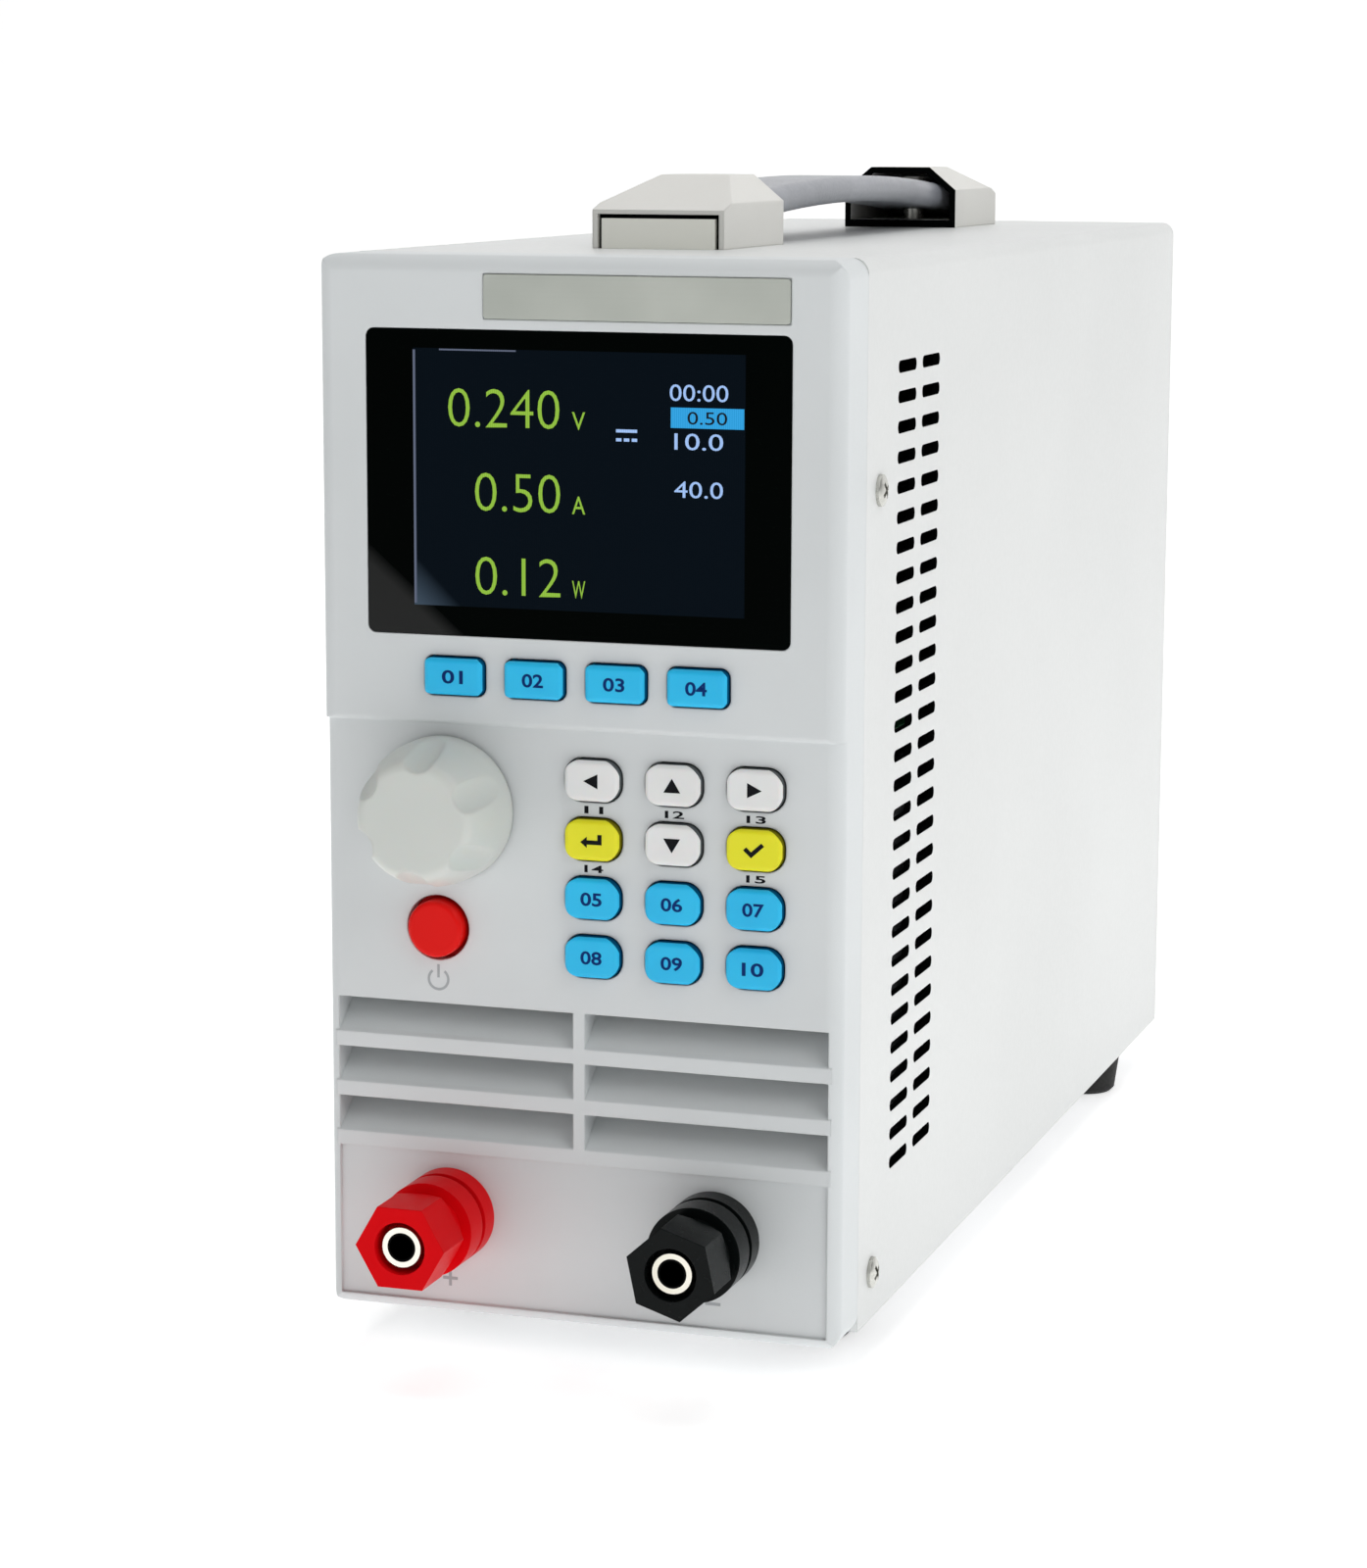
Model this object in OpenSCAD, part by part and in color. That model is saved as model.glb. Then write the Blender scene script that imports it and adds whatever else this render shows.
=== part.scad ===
// Bench DC electronic load: a narrow upright steel case with a moulded front,
// a colour display, a keypad, a rotary knob and two screw terminals.
// X runs across the front, Y runs from the front to the back, Z runs up from the floor.

/* [Case] */
// Width of the case
case_w = 88; // [84:1:110]
// Height of the case above its feet
case_h = 174; // [170:1:200]
// Depth from the front face to the rear panel
case_d = 256; // [246:1:320]
// Thickness of the sheet steel
sheet_t = 1.2; // [0.8:0.1:1.6]
// Outside radius of the cover's top bends
bend_r = 2.5; // [2:0.1:4]
// Height of the chassis side flanges
flange_h = 16; // [14:1:24]
// Depth of the front frame's folded flanges
frame_flange_d = 16; // [14:1:20]

/* [Side slots] */
// Length of one ventilation slot
slot_l = 11.3; // [8:0.1:12]
// Height of one ventilation slot
slot_h = 2; // [1.5:0.1:2.6]
// Distance from the front face to the first column's middle
slot_y = 37.2; // [36:0.1:60]
// Distance between the two columns
slot_column_pitch = 15.1; // [14:0.1:20]
// Distance between the rows
slot_row_pitch = 4.9; // [4:0.1:8]
// Height of the lowest row
slot_low = 23.7; // [20:0.1:40]
// Distance from the highest row to the top of the case
slot_high = 18; // [12:0.1:40]

/* [Bezel] */
// Depth of the moulded front
bezel_d = 13; // [12.5:0.5:18]
// Thickness of the moulding's side walls
bezel_wall = 2.2; // [1.8:0.1:2.8]
// Thickness of the moulding's front wall
face_t = 2.5; // [2.2:0.1:3]
// Radius of the outline's corners
corner_r = 3; // [2.4:0.1:5]
// Radius of the front edges
edge_r = 2.6; // [1.5:0.1:3.5]
// Height of the step between the raised display area and the keypad area
step_z = 99; // [98:0.5:100]
// How far the display area stands in front of the keypad area
step_d = 1.2; // [0.6:0.1:1.6]
// Radius of the step's edge
step_r = 0.8; // [0.4:0.1:1.2]
// Radius of the bosses that carry the front board
boss_r = 2.8; // [2.4:0.1:3]
// Distance of those bosses from the side walls
boss_inset = 3; // [2.8:0.1:3.4]

/* [Display] */
// Width of the display window
window_w = 71; // [66:0.5:72]
// Distance from the window's top edge to the top of the case
window_top = 11.7; // [11:0.1:14]
// Distance from the step to the window's lower edge
window_low = 14.5; // [14:0.1:18]
// Corner radius of the window
window_r = 1.3; // [1:0.1:3]
// Thickness of the window
window_t = 1.3; // [1:0.1:1.5]
// Width of the ledge that carries the window
window_ledge = 4; // [3:0.1:6]
// Thickness of the display behind the window
display_t = 4; // [3:0.1:5]

/* [Badge] */
// Width of the bare badge plate
badge_w = 50.6; // [30:0.1:56]
// Height of the badge plate
badge_h = 7; // [5:0.1:7.4]
// Distance of the badge's middle from the middle of the case
badge_x = 9.9; // [0:0.1:12]
// Distance from the badge's top edge to the top of the case
badge_top = 2.9; // [2.7:0.1:3.4]
// Thickness of the badge plate
badge_t = 0.6; // [0.4:0.1:1]
// Depth of the badge's pocket
badge_pocket = 0.4; // [0.2:0.1:0.8]

/* [Keys] */
// Width of a soft key
soft_w = 10; // [8:0.1:11]
// Height of a soft key
soft_h = 6; // [5:0.1:6.4]
// Corner radius of a soft key
soft_r = 1.3; // [0.8:0.1:2]
// Distance between soft keys
soft_pitch = 13.7; // [13.4:0.1:15]
// Distance from the window's lower edge to the soft keys' middle
soft_drop = 6.6; // [6.4:0.1:7]
// Width of a keypad key
pad_w = 9.3; // [8:0.1:10]
// Height of a keypad key
pad_h = 6.7; // [5.5:0.1:6.9]
// Corner radius of a keypad key
pad_r = 2.8; // [1:0.1:3]
// Distance between keypad columns
pad_pitch_x = 13.6; // [13:0.1:13.8]
// Distance between keypad rows
pad_pitch_z = 9.6; // [9.4:0.1:9.8]
// Distance from the case's side to the keypad's middle column
pad_side = 27.8; // [27.2:0.1:28.5]
// Distance from the step to the keypad's top row
pad_drop = 8; // [7.6:0.1:8.6]
// How far a key stands out of the face
key_proud = 1.4; // [1:0.1:2]
// Radius of a key's front edges
key_edge_r = 0.8; // [0.4:0.1:1]
// Width of the rim that keeps a key behind the wall
key_rim = 1; // [0.7:0.1:1.1]
// Thickness of that rim
key_rim_t = 0.8; // [0.6:0.1:1]
// Travel of a key
key_travel = 0.8; // [0.5:0.1:1]

/* [Knob and power button] */
// Distance from the case's side to the knob's axis
knob_side = 21; // [19:0.1:23]
// Distance from the step to the knob's axis
knob_drop = 14; // [13.4:0.1:15]
// Diameter of the knob's round base
knob_base_dia = 24; // [22:0.1:26]
// Radius of the knob's bulging flank
knob_flank_r = 24; // [20:0.5:40]
// Height of the knob
knob_h = 13.5; // [12:0.1:18]
// Height of the knob's plain base
knob_base_h = 2.6; // [2:0.1:4]
// Radius of the knob's front edge
knob_edge_r = 1.9; // [1:0.1:2.4]
// Radius of a finger scallop
scallop_r = 3.6; // [3:0.1:5]
// Depth of a finger scallop at the knob's front
scallop_d = 1.8; // [1:0.1:2.2]
// Height above the knob's base where a finger scallop runs out
scallop_end = 4.6; // [3:0.1:7]
// Number of finger scallops
scallops = 6; // [5:1:8]
// Diameter of the knob's shaft
shaft_dia = 6; // [5:0.1:6.2]
// Diameter of the threaded bush round the shaft
bush_dia = 7.4; // [7:0.1:8]
// Distance from the case's side to the power button's middle
power_side = 19.7; // [18:0.1:22]
// Distance from the step to the power button's middle
power_drop = 33.8; // [33:0.1:35]
// Diameter of the power button
power_dia = 9.4; // [8:0.1:11]
// Gap between the power button and its opening
power_gap = 0.7; // [0.3:0.1:1]
// How far the power button stands out of the face
power_proud = 2; // [1.5:0.1:3]
// Travel of the power button
power_travel = 2.4; // [1.5:0.1:2.5]

/* [Louvres] */
// Width of the moulding beside the louvres
louvre_border = 2; // [1.5:0.1:6]
// Width of the bar between the two groups
louvre_bar = 2; // [1.5:0.1:4]
// Height of the louvred area's lower edge
louvre_low = 29.9; // [29.4:0.1:30.4]
// Distance between the blades
louvre_pitch = 8.4; // [7.8:0.1:8.5]
// Number of blades in a group
louvres = 3; // [2:1:3]
// Thickness of a blade
blade_t = 1.5; // [1.2:0.1:2]
// Height of a blade's upright front edge
blade_nose = 2.5; // [1.5:0.1:3]
// Depth of the bevel above that edge
blade_lip_d = 0.8; // [0.5:0.1:3]
// Rise of the bevel
blade_lip_h = 0.5; // [0.3:0.1:2.4]
// Depth of the whole blade
blade_d = 8.8; // [5:0.1:9]
// Rise of the whole blade
blade_h = 6.9; // [6:0.1:7]

/* [Terminals] */
// Distance from the case's sides to the terminals' middles
post_side = 21.2; // [19:0.1:24]
// Height of the terminals
post_z = 17; // [15:0.1:18]
// Depth of the terminal area's recess
term_recess = 0.6; // [0.4:0.1:0.9]
// Width of the border round the terminal area
term_border = 2; // [1.5:0.1:3]
// Diameter of a terminal's round base and skirt
post_dia = 15.6; // [14:0.1:18]
// Length of the fixed base
post_base_l = 4; // [3:0.1:6]
// Thickness of the clamping washer
washer_t = 0.8; // [0.6:0.1:1.2]
// Diameter of the clamping washer
washer_dia = 13; // [11:0.1:13.6]
// Length of the cap's round skirt
skirt_l = 5.1; // [4:0.1:7]
// Length of the groove behind the hexagon
groove_l = 1.5; // [1:0.1:3]
// Diameter of the groove behind the hexagon
groove_dia = 12; // [11:0.1:12.6]
// Length of the cap's hexagon
hex_l = 10; // [8:0.1:12]
// Size of the hexagon across its flats
hex_flats = 13.2; // [13:0.1:15]
// Diameter of the hole in the cap's front
cap_mouth_dia = 8.6; // [8:0.1:10]
// Depth of the hole in the cap's front
cap_mouth_d = 5.5; // [4:0.1:7]
// Diameter of the metal stud
stud_dia = 6.6; // [6.2:0.1:7.4]
// Diameter of the socket for a 4 mm plug
socket_dia = 4; // [4:0.1:4.2]
// Depth of that socket
socket_d = 18; // [14:0.5:20]
// How far the stud ends behind the cap's front
stud_inset = 0.8; // [0.4:0.1:2]
// Thickness of the nuts on the studs
post_nut_t = 3.2; // [2.6:0.1:3.4]
// Turn of the black cap against the red one
black_turn = 18; // [0:1:30]

/* [Handle] */
// Length of the handle
handle_l = 188; // [170:1:220]
// Length of an end cap
cap_l = 34; // [30:1:40]
// Width of an end cap
cap_w = 23; // [21:0.5:30]
// Height of an end cap
cap_h = 12; // [11.5:0.1:14]
// Height of an end cap at its low end
cap_low_h = 6.4; // [6.4:0.1:7]
// Length of an end cap's slope
cap_slope_l = 20; // [14:0.5:20]
// Width of an end cap's top chamfers
cap_chamfer_w = 5.4; // [3:0.1:5.4]
// Height of an end cap's top chamfers
cap_chamfer_h = 4.5; // [3:0.1:4.5]
// Wall of an end cap
cap_wall = 1.2; // [1:0.1:1.6]
// Floor of an end cap
cap_floor = 1.5; // [1:0.1:1.8]
// Width of the strap
strap_w = 17; // [14:0.1:17.4]
// Thickness of the strap
strap_t = 4.8; // [4:0.1:5]
// Height of the strap's middle line above the case
strap_z = 8.6; // [8.4:0.1:8.8]
// Rise of the strap between the end caps
strap_rise = 2; // [1:0.1:2.1]
// Distance from the handle's ends to the strap's ends
strap_inset = 9; // [8.6:0.1:11]
// Thickness of the plates in the handle's ends
end_plate_t = 1.2; // [0.8:0.1:1.4]
// Height of those plates
end_plate_h = 5; // [4.4:0.1:5]
// Gap round those plates
end_plate_gap = 0.7; // [0.3:0.1:0.8]

/* [Feet] */
// Height of a foot
foot_h = 8; // [6:0.5:14]
// Diameter of a foot at its top
foot_dia = 15; // [13:0.5:18]
// Diameter of a foot at the floor
foot_low_dia = 13; // [12:0.5:15]
// Distance from the case's sides to the front feet's middles
foot_front_side = 14; // [8:0.5:18]
// Distance from the case's sides to the rear feet's middles
foot_side = 8; // [8:0.5:18]
// Distance of the front feet from the front face
foot_front = 36; // [24:1:60]
// Distance of the rear feet from the rear panel
foot_rear = 36; // [20:1:60]

/* [Cooling] */
// Room between the fan's square frame and the case's sides
fan_side = 4; // [3:0.5:6]
// Depth of the fan
fan_d = 25; // [20:0.5:28]
// Height of the fan above the chassis' rear flange
fan_lift = 2; // [1:0.1:4]
// Distance from the fan's sides to its fixing holes
fan_hole_inset = 4.25; // [4:0.05:5]
// Number of fan blades
fan_blades = 7; // [5:1:9]
// Radius of the fan's hub
fan_hub_r = 16; // [14:0.5:18]
// Gap between the blades and the fan's frame
fan_tip_gap = 1.2; // [0.8:0.1:2]
// Room between the heatsink and the case's sides
sink_side = 6; // [5:0.5:14]
// Height of the heatsink
sink_h = 82; // [70:0.5:84]
// Thickness of the heatsink's top
sink_base_t = 8; // [5:0.5:10]
// Number of heatsink fins
sink_fins = 15; // [9:1:17]
// Thickness of a fin
sink_fin_t = 2; // [1.5:0.1:2.4]

/* [Rear connectors] */
// Place of the mains inlet across the back
inlet_x = -19; // [-20:0.5:-17]
// Distance from the top of the case to the mains inlet's middle
inlet_top = 38; // [36:0.5:44]
// Width of the mains inlet's flange
inlet_w = 32; // [31:0.5:36]
// Height of the mains inlet's flange
inlet_h = 37; // [36:0.5:42]
// Thickness of the mains inlet's flange
inlet_flange_t = 2.5; // [2:0.1:4]
// Depth of the mains inlet behind the panel
inlet_d = 26; // [25:0.5:30]
// Place of the data port across the back
port_x = 21; // [19:0.5:22]
// Distance from the top of the case to the data port's middle
port_top = 30; // [20:0.5:40]
// Length of the data port's shell outside the panel
port_shell_l = 5.8; // [5:0.1:7]

/* [Fits] */
// Gap between a sliding piece and its guide
slide_gap = 0.3; // [0.2:0.05:0.4]
// Gap round a shaft that turns or slides in its hole
running_gap = 0.06; // [0.02:0.01:0.1]
// Gap round a piece that is set into another and stays there
seat_gap = 0.1; // [0.05:0.05:0.2]

/* [Hidden] */
$fn = 48;
overcut = 1;
inner_w = case_w - 2 * sheet_t;
cover_y = bezel_d;
rear_y = case_d - sheet_t;
wall_back = step_d + face_t;
board_t = 1.6;
board_clear = 1.4;
board_y = bezel_d - board_t - board_clear;

window_h = case_h - window_top - window_low - step_z;
window_z = step_z + window_low + window_h / 2;
badge_z = case_h - badge_top - badge_h / 2;
soft_z = window_z - window_h / 2 - soft_drop;
pad_x = case_w / 2 - pad_side;
pad_z = step_z - pad_drop;
knob_x = knob_side - case_w / 2;
knob_z = step_z - knob_drop;
power_x = power_side - case_w / 2;
power_z = step_z - power_drop;
key_back = wall_back + slide_gap + key_rim_t;
switch_front = key_back + key_travel + slide_gap;
switch_w = 6;
switch_button_r = 1.7;
switch_button_l = 0.7;
power_back = wall_back + slide_gap + key_rim_t;
power_switch_front = power_back + power_travel + slide_gap;
power_switch_w = 12;
key_blue = [0.12, 0.66, 0.88];
key_white = [0.92, 0.93, 0.93];
key_yellow = [0.88, 0.84, 0.12];
soft_keys = 4;

boss_x = case_w / 2 - bezel_wall - boss_inset;
boss_low_drop = 39.5;
boss_top = 8;
boss_zs = [step_z - boss_low_drop, step_z + boss_r, case_h - boss_top];
pilot_r = 1.2;
board_side = 0.8;
board_half_w = case_w / 2 - bezel_wall - board_side;
board_low_drop = 43;
board_low_z = step_z - board_low_drop;
board_top = 5;
board_high_z = case_h - board_top;

encoder_w = 12;
encoder_nut_r = 5.8;
encoder_nut_t = 2;
encoder_bush_l = 4;
knob_gap = 0.5;
knob_y = step_d - knob_gap;
knob_bore_l = 8;
knob_recess_r = 8;
knob_recess_d = 4.6;
shaft_r = shaft_dia / 2;
scallop_start = 26;

louvre_x = case_w / 2 - louvre_border;
louvre_high = louvre_low + louvres * louvre_pitch - blade_nose;

post_x = case_w / 2 - post_side;
post_y = step_d + term_recess;
post_spigot_r = 5.2;
washer_y = post_y - post_base_l - slide_gap;
skirt_y = washer_y - washer_t - slide_gap;
hex_y = skirt_y - skirt_l - groove_l;
post_front = hex_y - hex_l;
hex_r = hex_flats / sqrt(3);
stud_front = post_front + stud_inset;
stud_r = stud_dia / 2;
post_nut_r = 6.4;
bar_w = 12;
bar_t = 1.5;
bar_y = wall_back + post_nut_t;
bar_margin = 8;
stud_back = bar_y + bar_t + post_nut_t + bar_t;

handle_y = (cover_y + case_d) / 2;
mouth_half = handle_l / 2 - cap_l;
strap_half = handle_l / 2 - strap_inset;
strap_r = (mouth_half * mouth_half + strap_rise * strap_rise) / (2 * strap_rise);
strap_edge_r = 2.2;
handle_screw_in = 11;
handle_screw_half = mouth_half + handle_screw_in;
handle_screw_r = 2;
handle_head_r = 3.6;
handle_head_h = 1.6;
handle_screw_l = 16;

screw_r = 1.4;
screw_head_r = 2.6;
screw_head_h = 1.2;
screw_hole_gap = 0.2;
side_screw_y = cover_y + frame_flange_d / 2;
side_screw_low = 8;
side_screw_top = 37;
side_screw_high = case_h - side_screw_top;
side_screw_l = 6;
tab_w = 9;
tab_h = 12;
tab_top = 14;
rear_flange_h = 12;
fan_w = case_w - 2 * fan_side;
fan_hole_pitch = fan_w - 2 * fan_hole_inset;
fan_z = rear_flange_h + fan_lift + fan_w / 2;
tab_zs = [fan_z + fan_w / 2 + tab_h, case_h - tab_top];
rear_screw_z = 7;
foot_front_x = case_w / 2 - foot_front_side;
foot_x = case_w / 2 - foot_side;

front_room = 23;
fan_room = 6;
sink_w = case_w - 2 * sink_side;
sink_y = cover_y + front_room;
fan_y = rear_y - fan_d;
sink_end = fan_y - fan_room;
sink_top = sheet_t + sink_h;
fan_wall = 2;
fan_bore_r = fan_w / 2 - fan_wall;
fan_shaft_r = 1.5;
fan_strut_t = 4;
grille_slot_w = 4;
grille_first_r = 7;
grille_pitch = 6.6;
grille_rings = 1 + floor((fan_bore_r - grille_slot_w / 2 - grille_first_r) / grille_pitch);
grille_bar = 4;

standoff_h = 10;
standoff_r = 3.2;
main_z = sink_top + standoff_h;
main_side = 4;
main_w = case_w - 2 * main_side;
main_overhang = 4;
main_y = sink_y - main_overhang;
main_end = sink_end + main_overhang;
main_top = main_z + board_t;
standoff_inset = 5;
standoff_x = sink_w / 2 - standoff_inset;
standoff_ys = [sink_y + standoff_inset, (sink_y + sink_end) / 2, sink_end - standoff_inset];

inlet_z = case_h - inlet_top;
inlet_lip = 2.5;
inlet_corner_r = 2;
inlet_body_w = inlet_w - 2 * inlet_lip;
inlet_body_h = inlet_h - 2 * inlet_lip;
inlet_mouth_w = 24;
inlet_mouth_h = 16;
inlet_mouth_d = 17;
inlet_mouth_z = 6;
inlet_cut = 4;
inlet_pin_w = 2;
inlet_pin_h = 4;
inlet_pin_x = 7;
inlet_earth_z = 4;
inlet_pin_inset = 2;
fuse_w = 21;
fuse_h = 7.4;
fuse_drop = 10.5;
fuse_l = 23;
fuse_tube_r = 2.5;
fuse_tube_l = 20;
fuse_wall = 1;
fuse_back = case_d - fuse_l;
fuse_tube_y = fuse_back + fuse_wall + seat_gap;
port_z = case_h - port_top;
port_flange_w = 31;
port_flange_h = 12.6;
port_flange_t = 1;
port_shell_w = 17;
port_shell_h = 8.4;
port_body_d = 10;
port_nut_x = 12.5;
port_nut_r = 2.8;
contact_pitch = 2.77;
contact_row = 2.84;
contact_r = 0.6;

front_reach = -post_front;
rear_reach = max(port_shell_l, inlet_flange_t);
front_y = -(case_d + rear_reach - front_reach) / 2;

// Moves a piece from the front face and the case's bottom to the part's own frame
module place() {
    translate([0, front_y, foot_h])
        children();
}

// Extrudes a front sketch (x, z) from y0 back to y1
module along_y(y0, y1) {
    translate([0, y1, 0])
        rotate([90, 0, 0])
            linear_extrude(y1 - y0)
                children();
}

// Extrudes a side sketch (y, z) from x0 to x1
module along_x(x0, x1) {
    translate([x0, 0, 0])
        rotate([90, 0, 90])
            linear_extrude(x1 - x0)
                children();
}

// Extrudes a plan sketch (x, y) from z0 up to z1
module along_z(z0, z1) {
    translate([0, 0, z0])
        linear_extrude(z1 - z0)
            children();
}

// A round bar or hole along Y
module rod_y(y0, y1, r) {
    translate([0, y1, 0])
        rotate([90, 0, 0])
            cylinder(h = y1 - y0, r = r);
}

// A hexagonal bar along Y, with two of its points on the X axis
module hex_y_bar(y0, y1, r) {
    translate([0, y1, 0])
        rotate([90, 0, 0])
            cylinder(h = y1 - y0, r = r, $fn = 6);
}

// A rectangle about its middle with round corners
module rounded_rect(w, h, r) {
    square([w - 2 * r, h], center = true);
    square([w, h - 2 * r], center = true);
    for (x = [-1, 1], y = [-1, 1])
        translate([x * (w / 2 - r), y * (h / 2 - r)])
            circle(r);
}

// A slot with round ends
module obround(l, h) {
    square([l - h, h], center = true);
    for (side = [-1, 1])
        translate([side * (l - h) / 2, 0])
            circle(h / 2);
}

// Plan sketch of a block that is rounded at its two front corners
module front_rounded(w, y0, y1, r) {
    translate([-w / 2 + r, y0])
        square([w - 2 * r, y1 - y0]);
    translate([-w / 2, y0 + r])
        square([w, y1 - y0 - r]);
    for (side = [-1, 1])
        translate([side * (w / 2 - r), y0 + r])
            circle(r);
}

// Side sketch of a block that is rounded at its two front corners
module edge_profile(y0, y1, z0, z1, r_low, r_high) {
    translate([y0, z0 + r_low])
        square([y1 - y0, z1 - z0 - r_low - r_high]);
    translate([y0 + r_low, z0])
        square([y1 - y0 - r_low, r_low]);
    translate([y0 + r_high, z1 - r_high])
        square([y1 - y0 - r_high, r_high]);
    translate([y0 + r_low, z0 + r_low])
        circle(r_low);
    translate([y0 + r_high, z1 - r_high])
        circle(r_high);
}

// The cover's outline seen from the front, set in by a distance and starting at z0
module cover_sketch(inset, z0 = 0) {
    w = case_w - 2 * inset;
    top = case_h - inset;
    r = bend_r - inset;
    translate([-w / 2, z0])
        square([w, top - r - z0]);
    translate([-w / 2 + r, z0])
        square([w - 2 * r, top - z0]);
    for (side = [-1, 1])
        translate([side * (w / 2 - r), top - r])
            circle(r);
}

// A pan-head screw along +Z, with the underside of its head at the origin
module screw(length, r = screw_r, head_r = screw_head_r, head_h = screw_head_h) {
    translate([0, 0, -length])
        cylinder(h = length, r = r);
    cylinder(h = head_h, r = head_r);
}

function soft_x(i) = (i - (soft_keys - 1) / 2) * soft_pitch;
function pad_key_x(column) = pad_x + (column - 1) * pad_pitch_x;
function pad_key_z(row) = pad_z - row * pad_pitch_z;

// One raised or lowered area of the moulded front
module bezel_block(y0, z0, z1, r_low, r_high) {
    intersection() {
        along_y(y0, bezel_d)
            translate([0, case_h / 2])
                rounded_rect(case_w, case_h, corner_r);
        along_z(z0, z1)
            front_rounded(case_w, y0, bezel_d, edge_r);
        along_x(-case_w / 2, case_w / 2)
            edge_profile(y0, bezel_d, z0, z1, r_low, r_high);
    }
}

// Side sketch of one louvre blade, with its front edge at the origin
module blade_sketch() {
    polygon([
        [0, -blade_nose],
        [0, 0],
        [blade_lip_d, blade_lip_h],
        [blade_d, blade_h],
        [blade_d + blade_t, blade_h],
        [blade_lip_d + blade_t, blade_lip_h - blade_t / 2],
        [blade_t, -blade_nose]
    ]);
}

module louvre_blades() {
    reach = louvre_x + bezel_wall / 4;
    for (i = [0 : louvres - 1])
        along_x(-reach, reach)
            translate([step_d, louvre_low + i * louvre_pitch])
                blade_sketch();
    along_y(step_d, step_d + blade_d + blade_t)
        translate([-louvre_bar / 2, louvre_low])
            square([louvre_bar, louvre_high - louvre_low]);
}

// Front sketch of every opening behind a key
module key_holes(grow) {
    for (i = [0 : soft_keys - 1])
        translate([soft_x(i), soft_z])
            rounded_rect(soft_w + 2 * grow, soft_h + 2 * grow, soft_r + grow);
    for (column = [0 : 2], row = [0 : 3])
        translate([pad_key_x(column), pad_key_z(row)])
            rounded_rect(pad_w + 2 * grow, pad_h + 2 * grow, pad_r + grow);
}

module bezel_bosses() {
    for (side = [-1, 1], z = boss_zs)
        translate([side * boss_x, 0, z])
            rod_y(z > step_z ? face_t - overcut : wall_back - overcut, board_y, boss_r);
}

module front_bezel() color([0.80, 0.82, 0.83]) place() {
    difference() {
        union() {
            difference() {
                union() {
                    bezel_block(0, step_z, case_h, step_r, edge_r);
                    bezel_block(step_d, 0, step_z + step_r * 2, edge_r, step_r);
                }
                along_y(wall_back, bezel_d + overcut)
                    translate([0, case_h / 2])
                        rounded_rect(case_w - 2 * bezel_wall, case_h - 2 * bezel_wall, corner_r / 2);
                along_y(face_t, wall_back + overcut)
                    translate([-case_w / 2 + bezel_wall, step_z + face_t])
                        square([case_w - 2 * bezel_wall, case_h - bezel_wall - step_z - face_t]);
                for (side = [-1, 1])
                    along_y(-overcut, bezel_d)
                        translate([side * (louvre_x + louvre_bar / 2) / 2, (louvre_low + louvre_high) / 2])
                            square([louvre_x - louvre_bar / 2, louvre_high - louvre_low], center = true);
            }
            bezel_bosses();
            louvre_blades();
        }
        along_y(-overcut, window_t)
            translate([0, window_z])
                rounded_rect(window_w + 2 * seat_gap, window_h + 2 * seat_gap, window_r + seat_gap);
        along_y(-overcut, wall_back)
            translate([0, window_z])
                square([window_w - 2 * window_ledge, window_h - 2 * window_ledge], center = true);
        along_y(-overcut, badge_pocket)
            translate([badge_x, badge_z])
                square([badge_w + 2 * seat_gap, badge_h + 2 * seat_gap], center = true);
        along_y(-overcut, wall_back + overcut)
            key_holes(slide_gap);
        translate([knob_x, 0, knob_z])
            rod_y(-overcut, wall_back + overcut, bush_dia / 2 + seat_gap);
        translate([power_x, 0, power_z])
            rod_y(-overcut, wall_back + overcut, power_dia / 2 + power_gap);
        along_y(-overcut, post_y)
            translate([0, (term_border + louvre_low - blade_nose) / 2])
                square([2 * louvre_x, louvre_low - blade_nose - term_border], center = true);
        for (side = [-1, 1])
            translate([side * post_x, 0, post_z])
                rod_y(-overcut, wall_back + overcut, post_spigot_r + seat_gap);
        for (side = [-1, 1], z = boss_zs)
            translate([side * boss_x, 0, z])
                rod_y(wall_back + overcut, board_y + overcut, pilot_r);
    }
}

module display_window() color([0.05, 0.05, 0.06]) place() {
    along_y(0, window_t)
        translate([0, window_z])
            rounded_rect(window_w, window_h, window_r);
}

module display_module() color([0.35, 0.36, 0.38]) place() {
    frame_w = window_w - window_ledge;
    frame_h = window_h - window_ledge / 4;
    recess = 0.4;
    leg_r = 2.4;
    difference() {
        along_y(face_t, face_t + display_t)
            translate([0, window_z])
                rounded_rect(frame_w, frame_h, window_r);
        along_y(face_t - overcut, face_t + recess)
            translate([0, window_z])
                square([window_w - 2 * window_ledge, window_h - 2 * window_ledge], center = true);
    }
    for (x = [-1, 1], z = [-1, 1])
        translate([x * (frame_w / 2 - 2 * leg_r), 0, window_z + z * (frame_h / 2 - 2 * leg_r)])
            rod_y(face_t + display_t - recess, board_y, leg_r);
}

module badge_plate() color([0.70, 0.71, 0.69]) place() {
    along_y(badge_pocket - badge_t, badge_pocket)
        translate([badge_x, badge_z])
            rounded_rect(badge_w, badge_h, badge_t);
}

module front_board() color([0.10, 0.35, 0.20]) place() {
    difference() {
        along_y(board_y, board_y + board_t)
            translate([-board_half_w, board_low_z])
                square([2 * board_half_w, board_high_z - board_low_z]);
        for (side = [-1, 1], z = boss_zs)
            translate([side * boss_x, 0, z])
                rod_y(board_y - overcut, board_y + board_t + overcut, screw_r + screw_hole_gap);
    }
}

module tact_switch() {
    along_y(switch_front + switch_button_l, board_y)
        square([switch_w, switch_w], center = true);
    rod_y(switch_front, switch_front + switch_button_l, switch_button_r);
}

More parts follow.
